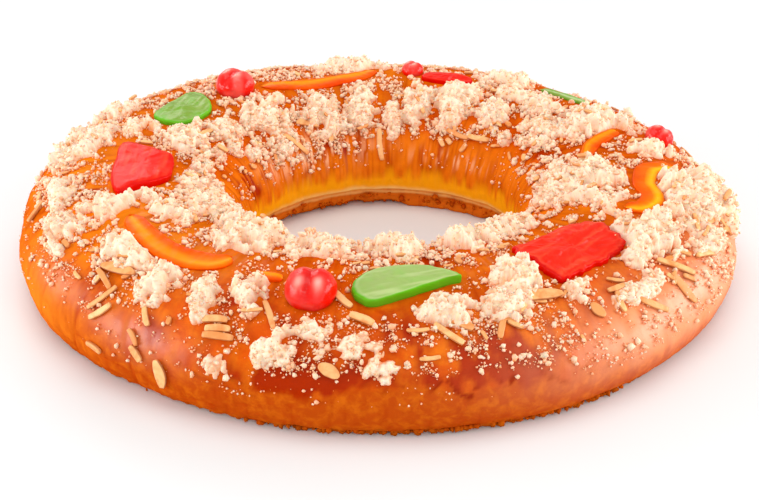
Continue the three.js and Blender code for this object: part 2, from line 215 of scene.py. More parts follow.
# Places on the dough are two angles in degrees. turn goes round the ring from +X towards +Y. over goes round
# the section: 0 is the outermost side, 90 the crest, 180 the side of the hole, -90 and 270 the base's edges.
ring = {
    "middle": (104.5, 85.7),  # half axes of the oval down the middle of the dough
    "centre": (1.6, 0.8),
    "halfWidth": 45.3,        # of the dough, from its middle to its side
    "widthWaves": ((-0.039, -0.010), (0.028, -0.033)),
    "crestHeight": 44.0,
    "heightWaves": ((-0.041, 0.029),),
    "beltLevel": 0.36,        # the widest level, as a share of the height
    "fullness": 0.12,         # of the shoulders
    "tuck": 0.19,             # how far the side comes in at the foot
    "swells": ((0.010, 3, 0.6), (0.008, 5, 2.1), (0.007, 8, 4)),    # share, count round the ring and shift
}


# 1 with waves round the ring added: shares of the cosine and sine of the turn, then of twice the turn.
def uneven(angle, waves):
    return 1 + sum(cosine * np.cos(count * angle) + sine * np.sin(count * angle)
                   for count, (cosine, sine) in enumerate(waves, 1))


# Slow swells of the hand-shaped dough: sines of the turn, with shorter ones on the flanks.
def swell(turn, over):
    angle = np.radians(turn)
    flank = np.cos(np.radians(over)) ** 2
    slow = sum(share * np.sin(count * angle + shift) for share, count, shift in ring["swells"])
    folds = 0.007 * np.sin(21 * angle + 1.3 * np.sin(2 * angle)) + 0.004 * np.sin(13 * angle + 0.04 * over)
    return 1 + slow + flank * folds


# The dough's skin: a point on the oval, moved outwards by the section's reach and up by its rise. Above the
# belt the section is an oval with full shoulders, below it a quarter oval tucked in to the flat base.
def skin(turn, over):
    turn, over = np.broadcast_arrays(np.asarray(turn, float), np.asarray(over, float))
    angle, level, side = np.radians(turn), np.sin(np.radians(over)), np.cos(np.radians(over))
    grown = swell(turn, over)
    width = ring["halfWidth"] * uneven(angle, ring["widthWaves"]) * grown
    height = ring["crestHeight"] * uneven(angle, ring["heightWaves"]) * grown
    belt, tuck = ring["beltLevel"], ring["tuck"]
    reach = np.where(level >= 0, side * (1 + ring["fullness"] * level ** 2),
                     np.sign(side) * (1 - tuck + tuck * np.abs(side)))
    rise = np.where(level >= 0, belt + (1 - belt) * level, belt * (1 + level))
    way, axes = np.stack([np.cos(angle), np.sin(angle)], -1), np.array(ring["middle"])
    flat = ring["centre"] + way * axes + unit(way * axes[::-1]) * (reach * width)[..., None]
    return np.concatenate([flat, (rise * height)[..., None]], -1)


# The skin's point, its outward normal, and the two ways along it: round the ring and inwards over it.
def seat(turn, over):
    step = 0.5               # degrees to either side
    ahead = unit(skin(turn + step, over) - skin(turn - step, over))
    upward = unit(skin(turn, over + step) - skin(turn, over - step))
    out = unit(np.cross(ahead, upward))
    return skin(turn, over), out, ahead, np.cross(out, ahead)


# A point at a height above the skin.
def above(turn, over, height):
    at, out, _, _ = seat(turn, over)
    return at + out * np.asarray(height)[..., None]


def newMaterial(name):
    material = bpy.data.materials.new(name)
    material.use_nodes = True
    tree = material.node_tree
    return material, tree, tree.nodes["Principled BSDF"]


# A node's inputs, by name or number: a socket is linked, and anything else is set.
def feed(tree, node, values):
    for title, value in values.items():
        if isinstance(value, bpy.types.NodeSocket):
            tree.links.new(value, node.inputs[title])
        else:
            node.inputs[title].default_value = value


# A new node with its inputs and its settings by attribute.
def addNode(tree, kind, values, **settings):
    node = tree.nodes.new(kind)
    for title, value in settings.items():
        setattr(node, title, value)
    feed(tree, node, values)
    return node


def readMask(tree, title):
    return addNode(tree, "ShaderNodeAttribute", {}, attribute_name=title).outputs["Fac"]


# Two colours, mixed by a mask between 0 and 1 or a share of it.
def mixColours(tree, mask, first, second, share=1.0):
    if share < 1:
        mask = addNode(tree, "ShaderNodeMath", {0: mask, 1: share}, operation="MULTIPLY").outputs["Value"]
    return addNode(tree, "ShaderNodeMix", {0: mask, 6: first, 7: second}, data_type="RGBA").outputs[2]


# A colour with others laid over it in turn, each where the mesh's mask of the same name says.
def overlay(tree, colour, look, titles):
    for title in titles:
        colour = mixColours(tree, readMask(tree, title), colour, look[title])
    return colour


# The last step of each material: its colour, its own shader values and its bumps.
def finishMaterial(tree, shader, colour, height, look):
    strength, depth = look["bump"]
    bump = addNode(tree, "ShaderNodeBump", {"Height": height, "Strength": strength, "Distance": depth * mm})
    feed(tree, shader, {"Base Color": colour, "Normal": bump.outputs["Normal"], **look["shader"]})


# The node group that several finishes share: two sizes of noise on Object coordinates. It gives a mask for
# mottled colour, sharpened between two levels, and a height for bumps.
def mottleGroup():
    group = bpy.data.node_groups.new("mottle", "ShaderNodeTree")
    for title in ("Patch Scale", "Grain Scale", "Low", "High"):
        group.interface.new_socket(title, in_out="INPUT", socket_type="NodeSocketFloat")
    for title in ("Mask", "Height"):
        group.interface.new_socket(title, in_out="OUTPUT", socket_type="NodeSocketFloat")
    given = group.nodes.new("NodeGroupInput").outputs
    places = group.nodes.new("ShaderNodeTexCoord").outputs["Object"]
    patch = addNode(group, "ShaderNodeTexNoise", {
        "Vector": places, "Scale": given["Patch Scale"], "Detail": 5, "Roughness": 0.6, "Distortion": 0.4})
    grain = addNode(group, "ShaderNodeTexNoise", {
        "Vector": places, "Scale": given["Grain Scale"], "Detail": 3, "Roughness": 0.55})
    spread = addNode(group, "ShaderNodeMapRange", {
        "Value": patch.outputs["Fac"], "From Min": given["Low"], "From Max": given["High"]},
        interpolation_type="SMOOTHSTEP")
    both = addNode(group, "ShaderNodeMath", {0: grain.outputs["Fac"], 1: 0.6, 2: patch.outputs["Fac"]},
                   operation="MULTIPLY_ADD")
    feed(group, group.nodes.new("NodeGroupOutput"), {
        "Mask": spread.outputs["Result"], "Height": both.outputs["Value"]})
    return group


mottle = mottleGroup()


# The shared mottle at its own scales: its mask and its height.
def addMottle(tree, patch, grain, low, high):
    node = tree.nodes.new("ShaderNodeGroup")
    node.node_tree = mottle
    feed(tree, node, {"Patch Scale": patch, "Grain Scale": grain, "Low": low, "High": high})
    return node.outputs["Mask"], node.outputs["Height"]


# In every look, a mottle is the scale of its patches and grain and the two levels that sharpen it, and a bump
# is its strength and its depth in millimetres.
crustLook = {
    "washed": srgb(210, 82, 4),       # egg-washed top
    "golden": srgb(244, 136, 20),     # where the wash is thin, and on the wall of the hole
    # deep also darkens the creases of the outer flank, as painted shade
    "deep": srgb(168, 42, 0),         # where it ran thick
    "flank": srgb(190, 74, 8),        # side below the wash
    # the paler side is partly crust the oven coloured least and partly painted sheen, where its ovals lie on
    # the gloss
    "light": srgb(240, 132, 32),      # side that the oven coloured least
    "pale": srgb(252, 204, 122),      # soft lines that the oven did not reach
    "amber": srgb(255, 174, 14),      # low on the wall of the hole
    # the foot's toasting, and on the crumbs at the foot also painted shade on their undersides
    "toastAndShade": srgb(164, 80, 14),       # dark foot
    "burnt": srgb(150, 40, 2),        # thin line where the wash stopped
    # painted sheen: the floor and the side soft boxes reflected on the flanks, laid in as colour
    "paintedSheen": srgb(241, 162, 122),     # dry sheen on the side
    # painted highlight streaks on the wall of the hole, and streaks of melted sugar on the outer side
    "sugarStreaksAndSheen": srgb(255, 216, 176),     # streaks of melted sugar
    "patches": (48, 900, 0.45, 0.72),    # three mottles: broad patches of golden, fine ones, and deep ones
    "fine": (190, 1500, 0.4, 0.7),
    "dark": (110, 1500, 0.5, 0.75),
    "roughness": (0.5, 0.3),          # dry, and under the full gloss of the wash
    # the dry crust is dull, and its shine is all in the wash
    "shader": {"Specular IOR Level": 0.0, "Coat Roughness": 0.34, "Coat IOR": 2.3},
    "bump": (0.5, 0.5),
}


# The crust: golden to deep brown under the wash, lighter on the side (partly a painted sheen), pale and
# toasted by its own masks, with a painted sheen and painted highlight streaks laid over it.
def crustMaterial():
    look = crustLook
    material, tree, shader = newMaterial("eggWashedCrust")
    patchMask, height = addMottle(tree, *look["patches"])
    fineMask, _ = addMottle(tree, *look["fine"])
    darkMask, _ = addMottle(tree, *look["dark"])
    top = mixColours(tree, patchMask, look["washed"], look["golden"], 0.6)
    top = mixColours(tree, fineMask, top, look["golden"], 0.3)
    top = mixColours(tree, darkMask, top, look["deep"], 0.6)
    top = overlay(tree, top, look, ["golden"])
    flank = mixColours(tree, fineMask, look["flank"], look["golden"], 0.35)
    flank = overlay(tree, flank, look, ["light"])
    colour = mixColours(tree, readMask(tree, "wash"), flank, top)
    colour = overlay(tree, colour, look, ["deep", "paintedSheen", "burnt", "amber", "sugarStreaksAndSheen", "pale", "toastAndShade"])
    gloss = readMask(tree, "gloss")
    dry, glossy = look["roughness"]
    rough = addNode(tree, "ShaderNodeMapRange", {"Value": gloss, "To Min": dry, "To Max": glossy})
    feed(tree, shader, {"Roughness": rough.outputs["Result"], "Coat Weight": gloss})
    finishMaterial(tree, shader, colour, height, look)
    return material


sugarLook = {
    "white": srgb(253, 231, 206),
    "warm": srgb(254, 210, 170),
    # also painted shade: warmer in the crevices of the heaps and on the undersides of the crumbs
    "toastedAndShaded": srgb(238, 138, 60),    # thin, low or loose sugar
    "mottle": (260, 1400, 0.44, 0.72),
    "shader": {"Roughness": 0.55, "Specular IOR Level": 0.15, "Subsurface Weight": 0.5,
               "Subsurface Radius": (1.0, 0.62, 0.38), "Subsurface Scale": 0.35 * mm},
    "bump": (0.5, 0.25),
}
almondLook = {
    "flesh": srgb(250, 194, 128),
    "roasted": srgb(224, 136, 62),
    # painted shade: brown along the sides of each piece, standing for the shade at its edges
    "edgeShadeBrown": srgb(160, 76, 20),   # a rim where the skin was left on
    "mottle": (160, 800, 0.4, 0.7),
    "shader": {"Roughness": 0.45, "Subsurface Weight": 0.12,
               "Subsurface Radius": (1.0, 0.6, 0.3), "Subsurface Scale": 0.8 * mm},
    "bump": (0.3, 0.2),
}


# Moist sugar and blanched almonds: two colours mottled together, and others over them by mask.
def toppingMaterial(name, look, first, second, masks):
    material, tree, shader = newMaterial(name)
    patchMask, height = addMottle(tree, *look["mottle"])
    colour = mixColours(tree, patchMask, look[first], look[second])
    finishMaterial(tree, shader, overlay(tree, colour, look, masks), height, look)
    return material


fruitLooks = {
    # the cherry's pale is mostly a painted highlight on its lobes, its dark a painted shade in the crease and
    # below
    "cherry": {"body": srgb(238, 18, 4), "dark": srgb(200, 2, 0), "pale": srgb(255, 190, 174),
               "radius": (1.0, 0.12, 0.08), "scatter": 2.4, "rough": 0.3, "coat": 0.42, "coatIor": 1.6},
    "redFruit": {"body": srgb(238, 24, 6), "dark": srgb(210, 8, 0), "pale": srgb(252, 92, 56),
                 "radius": (1.0, 0.14, 0.06), "scatter": 2.0, "rough": 0.34, "coat": 0.16, "coatIor": 1.5},
    "greenFruit": {"body": srgb(128, 160, 62), "dark": srgb(98, 182, 22), "pale": srgb(188, 206, 140),
                   "radius": (0.5, 1.0, 0.25), "scatter": 1.8, "rough": 0.34, "coat": 0.2, "coatIor": 1.5},
    "orangePeel": {"body": srgb(242, 104, 0), "dark": srgb(226, 68, 0), "pale": srgb(255, 188, 24),
                   "radius": (1.0, 0.4, 0.04), "scatter": 1.4, "rough": 0.36, "coat": 0.03, "coatIor": 1.5},
}
fruitShared = {
    "mottle": (130, 600, 0.45, 0.75),
    "shader": {"Specular IOR Level": 0.04, "Coat Roughness": 0.2, "Subsurface Weight": 0.35},
    "bump": (0.4, 0.3),
}


# Candied fruit: sugar-soaked flesh that lets light in, darker where it is thick, pale in streaks, under a
# syrup gloss. On the cherries the pale mask also holds painted highlights and the dark mask painted shade.
def fruitMaterial(name):
    look = fruitLooks[name]
    material, tree, shader = newMaterial(name)
    patchMask, height = addMottle(tree, *fruitShared["mottle"])
    colour = mixColours(tree, patchMask, look["body"], look["dark"], 0.5)
    finishMaterial(tree, shader, overlay(tree, colour, look, ["dark", "pale"]), height, fruitShared)
    feed(tree, shader, {"Roughness": look["rough"], "Coat Weight": look["coat"], "Coat IOR": look["coatIor"],
                        "Subsurface Radius": look["radius"], "Subsurface Scale": look["scatter"] * mm})
    return material


crustFinish = crustMaterial()
sugarFinish = toppingMaterial("moistSugar", sugarLook, "white", "warm", ["toastedAndShaded"])
almondFinish = toppingMaterial("roastedAlmond", almondLook, "flesh", "roasted", ["roasted", "edgeShadeBrown"])
fruitFinish = {name: fruitMaterial(name) for name in fruitLooks}
print("materials made:", len(bpy.data.materials))


dough = {
    "columns": 720,
    "rows": 138,
    "overEnds": (-89.9, 269.9),
    "closeRows": (-60, 232),      # between which rows lie twice as close as elsewhere
    # bands of over: where each starts, is full, starts to fade and ends
    "outerBand": (-85, -50, 22, 48),
    "innerBand": (138, 158, 196, 214),
    "lipBand": (204, 208, 226, 236),
    "footBand": (138, 156, 176, 180),    # as degrees from the crest
    "backWall": (82, 58),         # middle turn and half turn of the wall of the hole that is seen
    "washEdge": 13,               # over at which the egg wash stops on the outer side
    "washEnd": (190, 202),        # and in the hole
    "sunk": 0.35,                 # the whole skin, under the toppings
    "creaseDepth": 0.9,
    # middle turn and strength of each long crease down the outer side
    "creases": ((199, 0.7), (207, 0.8), (213, 0.4), (216.5, 0.9), (229, 0.7), (246, 0.4), (282, 0.3),
                (318, 0.3)),
    "creaseHalf": 0.42,
    "wrinkleDepth": 0.3,
    "waveDepth": 0.5,
    "blister": 0.16,
    "lipDepth": 1.3,              # of the ledge on the wall of the hole
    "footFray": 0.7,
    "footJut": 2.4,               # of the foot's edge in the far corner of the hole
    "drips": ((284, 13),),        # middle turn and half turn of where the wash ran down in drops
    # soft ovals of each finish: middle turn and over, half turn and over, and strength
    "ovals": {
        "deep": [
            (253, 14, 4, 8, 0.7), (259.5, 24, 5, 18, 0.9), (291, 22, 6, 14, 0.7), (282, 106, 4, 7, 0.6),
            (106, 148, 5, 9, 0.6), (153, 165, 8, 12, 0.5), (29, 126, 10, 9, 0.7), (276, 26, 22, 13, 0.4),
            (274, 52, 3, 14, 0.5), (287, 44, 8, 12, 0.5), (312, 58, 9, 12, 0.35), (250, 62, 9, 12, 0.35),
            (222, 36, 8, 14, 0.3), (160, 150, 14, 16, 0.4), (188, 42, 6, 8, 0.4), (189, 72, 8, 8, 0.4),
            (290, 100, 12, 12, 0.3), (240, 66, 5, 14, 0.3), (232, 32, 2, 12, 0.6), (327, 40, 3, 20, 0.4)],
        "gloss": [
            (231, 24, 9, 20, 0.26), (209, 30, 8, 14, 0.15), (324, 16, 24, 40, 0.3), (325, -25, 26, 24, 0.2),
            (345, 30, 16, 40, 0.25), (212, 95, 10, 9, 0.25), (236, 92, 8, 6, 0.25), (296, 96, 9, 12, 0.25),
            (113, 156, 11, 14, 0.3), (130, 160, 12, 14, 0.3), (236, 70, 8, 14, 0.12)],
        # painted sheen on the left and right flanks
        "paintedSheen": [
            (318, 20, 20, 28, 0.9), (346, 14, 18, 36, 0.65), (231, 22, 8, 15, 0.22), (209, 30, 8, 12, 0.2)],
        # painted highlight streaks on the wall of the hole, melted sugar on the outer side
        "sugarStreaksAndSheen": [(118, 152, 20, 11, 0.85), (64, 159, 14, 6, 0.5), (318, 34, 18, 18, 0.15)],
        "golden": [
            (188, 74, 34, 50, 0.8), (330, 100, 30, 40, 0.4), (222, 82, 20, 24, 0.7), (296, 46, 7, 14, 0.45),
            (100, 80, 44, 40, 0.35)],
        # paler patches of the side; those on the right flank and the top are painted sheen
        "light": [
            (203, 0, 15, 34, 0.85), (170, 60, 12, 16, 0.5), (348, 10, 22, 30, 0.6), (322, 22, 16, 30, 0.7),
            (294, 96, 9, 13, 0.35)],
    },
}


# The net's places, as turn and over: steps of over count double where the rows lie close.
def doughNet():
    (first, last), (low, high) = dough["overEnds"], dough["closeRows"]
    counts = np.cumsum([0, low - first, 2 * (high - low), last - high])
    over = np.interp(np.linspace(0, counts[-1], dough["rows"]), counts, [first, low, high, last])
    return np.meshgrid(np.linspace(0, 360, dough["columns"], endpoint=False), over, indexing="ij")


# Thin wandering lines: slanted noise, sharp where it passes through zero.
def creaseLines(turn, over, spacing, seed, thin=7):
    field = drawnNoise(turn, over, turnArc / spacing, 26, seed, 2.4)
    return (1 - np.minimum(np.abs(field) * 2.2, 1)) ** thin


# How far down the outer side the egg wash ran, in degrees of over: an edge with short drips, and higher up at
# the left end.
def washLine(turn):
    short, slow = (drawnNoise(turn, 0 * turn, turnArc / cell, 1, seed) for cell, seed in ((5.5, 3), (17, 4)))
    drips = 14 * np.maximum(short, 0) + 5 * slow
    return dough["washEdge"] + 18 * bell(turn, 206, 20) - drips


# Soft ovals added up, each a bell curve of the turn times one of over.
def patches(turn, over, ovals):
    return sum(strength * bell(turnsFrom(turn, midTurn), 0, halfTurn) * bell(over, midOver, halfOver)
               for midTurn, midOver, halfTurn, halfOver, strength in ovals)


# What the shape and the finish share: from 0 to 1 the outer flank, the wall of the hole, its far side and the
# creases, and fray, a ragged noise of about 1 either way.
def doughZones(turn, over, at):
    creases = 0.6 * creaseLines(turn, over, 9, 11) * (0.3 + 0.7 * bell(turn, 214, 30))
    for middle, share in dough["creases"]:
        wander = middle + 0.8 * np.sin(np.radians(over * 2.3 + 40 * middle))
        creases = np.maximum(creases, share * bell(turn, wander, dough["creaseHalf"]))
    return {"outer": band(over, *dough["outerBand"]), "inner": band(over, *dough["innerBand"]),
            "backWall": bell(turn, *dough["backWall"]), "creases": creases,
            "fray": noises(at, (1, 3.4, 16), (0.7, 1.7, 17))}


# How far the skin is lifted: creases on the outer flank, wrinkles and waves on the wall of the hole, small
# blisters, a ledge low on that wall and a frayed foot, which juts out in one far corner. The base stays flat.
def doughLift(turn, over, at, outer, inner, backWall, creases, fray):
    wrinkles = creaseLines(turn, over, 7, 12, 4)
    waves = softNoise(at * [0.16, 0.16, 0.05], 1.0, 15)
    blisters = noises(at, (1, 2.6, 13), (0.6, 1.3, 14))
    ledge = band(over, *dough["lipBand"]) * (0.35 + 0.65 * backWall)
    foot = band(np.abs(over - 90), *dough["footBand"])
    jut = dough["footJut"] * ease(over, 228, 240) * band(turn, 44, 52, 78, 86)
    lift = (-dough["creaseDepth"] * creases * outer - dough["wrinkleDepth"] * wrinkles * inner
            + dough["waveDepth"] * waves * (inner + 0.4 * outer) + dough["blister"] * blisters
            - dough["lipDepth"] * ledge + foot * (dough["footFray"] * fray + jut) - dough["sunk"])
    return lift * ease(dough["overEnds"][1] - 90 - np.abs(over - 90), 0, 6)


# Where each finish shows, from 0 to 1: every mask is a band of over or a set of soft ovals, its edge broken
# by noise drawn out along the section.
def crustMasks(turn, over, at, outer, inner, backWall, creases, fray):
    line = washLine(turn)
    streaks = drawnNoise(turn, over, 34, 16, 21)
    fine = drawnNoise(turn, over, 90, 12, 22)
    lines = drawnNoise(turn, over, 95, 22, 23)
    thin = drawnNoise(turn, over, 55, 15, 24)
    ragged = 2.4 * softNoise(at, 7, 18) + 1.3 * fray
    oval = {title: patches(turn, over, ovals) for title, ovals in dough["ovals"].items()}
    # streaks that are partly melted sugar and partly painted highlight
    sugarStreaksAndSheen = ease(drawnNoise(turn, over, 70, 11, 25), 0.12, 0.4) * oval["sugarStreaksAndSheen"]
    wash = band(over, line - 2, line + 3, *dough["washEnd"])
    # deep colour: streaks of thick wash, bare spots, painted shade darkening the creases of the outer flank,
    # drawn lines and the top of the wall of the hole
    deep = 0.75 * wash * np.clip(0.2 + 0.8 * streaks + 0.6 * bell(over, line + 7, 9), 0, 1)
    spots = ease(oval["deep"] + 0.5 * (streaks + 0.6 * fray) * oval["deep"] ** 0.5, 0.12, 0.8)
    deep = np.maximum(np.clip(0.8 * deep + spots, 0, 1), 0.8 * creases * outer) + 0.28 * ease(lines, 0.1, 0.6)
    wall = ease(over + 12 * streaks, 142, 154) * (1 - ease(over + 10 * thin, 172, 184)) * bell(turn, 78, 50)
    deep = (deep * (1 - 0.85 * np.clip(oval["light"], 0, 1))
            + 0.3 * wall * ease(thin + 1.2 * streaks, -0.1, 0.9)) * (1 - np.clip(1.4 * sugarStreaksAndSheen, 0, 1))
    # paler side, partly painted sheen; it also thins deep and adds to golden
    light = oval["light"] + 0.55 * band(over, 200, 210, 244, 262)
    pale = (bell(over, 204 + ragged, 4.5) + 0.8 * bell(over, 216 + ragged, 4)) * (0.35 + 0.65 * backWall)
    where = sum(bell(turn, middle, half) for middle, half in dough["drips"])
    drops = bell(over, line + 4 - 8 * thin, 2.6) * ease(thin + 0.5 * fray, -0.1, 0.3) * where
    broken = 1 - 0.85 * ease(over, 60, 100) * ease(0.3 - fine, 0, 0.25)
    shine = oval["gloss"] * (1 - inner * (1 - ease(thin + 0.7 * fine, 0, 0.45)))
    foot = ease(np.abs(over - 90) + 9 * fray, 142, 158) * np.where(over > 90, 0.15, 0.85)
    masks = {
        "wash": wash, "deep": deep, "light": light, "pale": pale, "sugarStreaksAndSheen": sugarStreaksAndSheen, "burnt": 1.3 * drops,
        "golden": (0.6 * ease(over, 128, 150) + 0.6 * light + 0.3 * streaks
                   + 0.5 * outer * ease(lines, 0, 0.4) + oval["golden"]),
        "gloss": np.clip((0.01 + 0.015 * wash + shine) * broken, 0, 1) * (1 - 0.7 * pale),
        # painted sheen, broken by the streaks
        "paintedSheen": oval["paintedSheen"] * (0.85 + 0.3 * streaks),
        "amber": 0.85 * ease(over + 9 * streaks, 170, 188) * (1 - ease(over + ragged, 205, 211)),
        "toastAndShade": foot * (0.4 + 0.6 * ease(softNoise(at, 9, 19), -0.4, 0.3)),
    }
    return {title: np.clip(mask, 0, 1) for title, mask in masks.items()}


def makeDough():
    turn, over = doughNet()
    at, out, _, _ = seat(turn, over)
    zones = doughZones(turn, over, at)
    points = at + out * doughLift(turn, over, at, **zones)[..., None]
    points[..., 2] = np.maximum(points[..., 2], 0)
    makePiece("dough", points.reshape(-1, 3), netFaces(*turn.shape, True, True), crustFinish, "crust",
              ["crust"], crustMasks(turn, over, at, **zones))


makeDough()
print("dough made")


# A Catmull-Rom curve: a cubic from start to end that leaves the one before and meets the one after smoothly.
def catmullRom(before, start, end, after, part):
    return 0.5 * (2 * start + (end - before) * part
                  + (2 * before - 5 * start + 4 * end - after) * part ** 2
                  + (3 * start - before - 3 * end + after) * part ** 3)


# A smooth closed loop through places, sampled at so many points.
def smoothLoop(places, count):
    places = np.asarray(places, float)
    spot = np.linspace(0, len(places), count, endpoint=False)
    start = np.floor(spot).astype(int)
    around = (places[(start + step) % len(places)] for step in (-1, 0, 1, 2))
    return catmullRom(*around, (spot - start)[:, None])


# The same through an open row of places, its ends drawn on in a straight line.
def smoothPath(places, share):
    places = np.asarray(places, float)
    longer = np.vstack([2 * places[0] - places[1], places, 2 * places[-1] - places[-2]])
    spot = np.clip(share, 0, 1) * (len(places) - 1)
    start = np.minimum(np.floor(spot).astype(int), len(places) - 2)
    return catmullRom(*(longer[start + step] for step in (0, 1, 2, 3)), (spot - start)[:, None])


# Directions from a ball's middle, in rings between its poles: the angle from the upper pole, the way round
# and unit vectors.
def ballRings(around, rings):
    polar = np.linspace(0, np.pi, rings + 2)[1:-1, None]
    way = np.linspace(0, 2 * np.pi, around, endpoint=False)[None]
    ball = [np.sin(polar) * np.cos(way), np.sin(polar) * np.sin(way), np.cos(polar) * np.ones_like(way)]
    return polar, way, np.stack(ball, -1)


# A rounded section: the cosine and sine of the way round it, squared off by powers below 1.
def bluntSection(around, widePower, highPower, shift=0.0):
    arc = np.linspace(0, 2 * np.pi, around, endpoint=False)[None] + shift
    wide, high = np.cos(arc), np.sin(arc)
    return np.sign(wide) * np.abs(wide) ** widePower, np.sign(high) * np.abs(high) ** highPower


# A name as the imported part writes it, with each capital as an underscore and small letter.
def packedName(name):
    return "".join("_" + letter.lower() if letter.isupper() else letter for letter in name)


# A fruit takes the place of the node of its own name.
def makeFruit(name, finish, points, rings, around, pale, dark):
    makePiece(name, points, stackFaces(rings, around), fruitFinish[finish], packedName(finish),
              [packedName(name)], {"pale": pale, "dark": dark})


sink = 1.2        # how deep slices and strips sit in the crust


# A slice: its outline shrunk towards its middle and lifted along a boxy curve, where the sixth powers of the
# reach and of the rise add up to 1, from the underside over the steep edge to the top, which noise ripples.
# Streaks run along its longest way, and a painted highlight runs round its top edge.
def makeSlice(name, finish, places, thick, ripple=0.5, paleTop=0.0, edgeHighlight=0.4, nick=0.02, seed=0):
    around = 112
    rim = smoothLoop(places, around)
    middle = rim.mean(0)
    onRim = skin(rim[:, 0], rim[:, 1])
    nicks = noises(onRim, (1, 2.4, 34 + seed), (0.5, 1.1, 37 + seed))
    rim = middle + (rim - middle) * (1 + nick * nicks)[:, None]
    half = np.concatenate([np.cos(np.radians(np.linspace(0, 70, 14))) ** (1 / 3), np.linspace(0.62, 0.06, 9)])
    reach = np.concatenate([half[:0:-1], half])[:, None]
    way = np.repeat([-1, 1], [len(half) - 1, len(half)])[:, None]
    rise = way * (1 - np.minimum(reach, 1) ** 6) ** (1 / 6)
    spot = middle + (rim - middle) * reach[..., None]
    flatSpot = skin(spot[..., 0], spot[..., 1])
    waves = ripple * noises(flatSpot, (1, 6.5, 31 + seed), (0.5, 2.6, 32 + seed), (0.3, 1.2, 33 + seed))
    top = ease(rise, 0.75, 0.98)
    points = above(spot[..., 0], spot[..., 1], thick * (0.5 + 0.5 * rise) - sink + waves * top)
    ends = [above(*middle, height) for height in (-sink, thick - sink + waves[-1, 0])]
    allPoints = np.vstack([ends[0], points.reshape(-1, 3), ends[1]])
    span = allPoints[:, :2] - allPoints[:, :2].mean(0)
    longWay = np.linalg.svd(span, full_matrices=False)[2][0]
    crossWay = np.array([-longWay[1], longWay[0]])
    streakSpot = np.stack([span @ longWay / 12, span @ crossWay / 1.2, np.zeros(len(span))], -1)
    streaks = ease(softNoise(streakSpot, 1.0, 35 + seed), 0.0, 0.7)
    onTop, rimMask = padded(top, around, 0, 1), padded(1 - top, around, 1, 0)
    # painted highlight along the rounded top edge
    shoulderHighlight = edgeHighlight * bell(padded(reach, around), 0.93, 0.05) * onTop
    pale = np.clip(onTop * (paleTop + 0.45 * streaks) + shoulderHighlight, 0, 1)
    thickSpots = ease(-softNoise(allPoints, 6, 36 + seed), 0.1, 0.6) * (1 - streaks)
    dark = np.clip(0.9 * rimMask + 0.35 * thickSpots, 0, 1)
    makeFruit(name, finish, allPoints, len(reach), around, pale, dark)


# A strip of peel: a rounded section carried along a smooth path over the dough, tapered and rounded at both
# ends, its upper side slightly hollow. A pale line of pith, a bell curve across it, runs along it.
def makeStrip(name, finish, places, width, thick=2.6, paleAt=(0.25, 0.25), pith=0.55, seed=0):
    stations, around = 90, 28
    share = np.linspace(0, 1, stations)
    place, before, after = (smoothPath(places, share + step) for step in (0, -0.01, 0.01))
    at, out, _, _ = seat(place[:, 0], place[:, 1])
    forward = unit(skin(after[:, 0], after[:, 1]) - skin(before[:, 0], before[:, 1]))
    sideways = unit(np.cross(out, forward))
    wide, high = bluntSection(around, 0.6, 0.8)
    taper = ((0.55 + 0.45 * np.sin(np.pi * share) ** 0.5)
             * np.minimum(1, np.sqrt(np.minimum(share, 1 - share) * 16 + 0.04)))[:, None]
    along = np.stack([share, share * 0, share * 0], -1)
    edge = 1 + 0.07 * softNoise(along * 9, 1.0, 41 + seed)[:, None]
    streaks = softNoise(along * 5, 1.0, 43 + seed)[:, None]
    hollow = 0.22 * thick * (1 - wide ** 2) * (high > 0)
    lift = -sink + thick * (0.5 + 0.5 * high * np.minimum(1, 1.15 * taper)) - hollow
    points = (at[:, None] + sideways[:, None] * (wide * width / 2 * taper * edge)[..., None]
              + out[:, None] * lift[..., None])
    points = points + out[:, None] * (0.25 * softNoise(points, 2.4, 42 + seed) * (high > 0))[..., None]
    caps = [at[end] + out[end] * (0.5 * thick - sink) + forward[end] * way
            for end, way in ((0, -0.7), (-1, 0.7))]
    across = np.broadcast_to(wide * (high > 0.1), (stations, around))
    line = (paleAt[0] + (paleAt[1] - paleAt[0]) * share)[:, None]
    pale = np.clip(pith * bell(across, line + 0.15 * streaks, 0.34) * (high > 0.1), 0, 1)
    farSide = ease(-across * np.sign(line), 0.2, 0.9)
    dark = np.clip(0.5 * farSide + 0.5 * ease(streaks, 0.1, 0.7) + 0.5 * (high < 0.1), 0, 1)
    makeFruit(name, finish, np.vstack([caps[0], points.reshape(-1, 3), caps[1]]), stations, around,
              padded(pale, around), padded(dark, around))


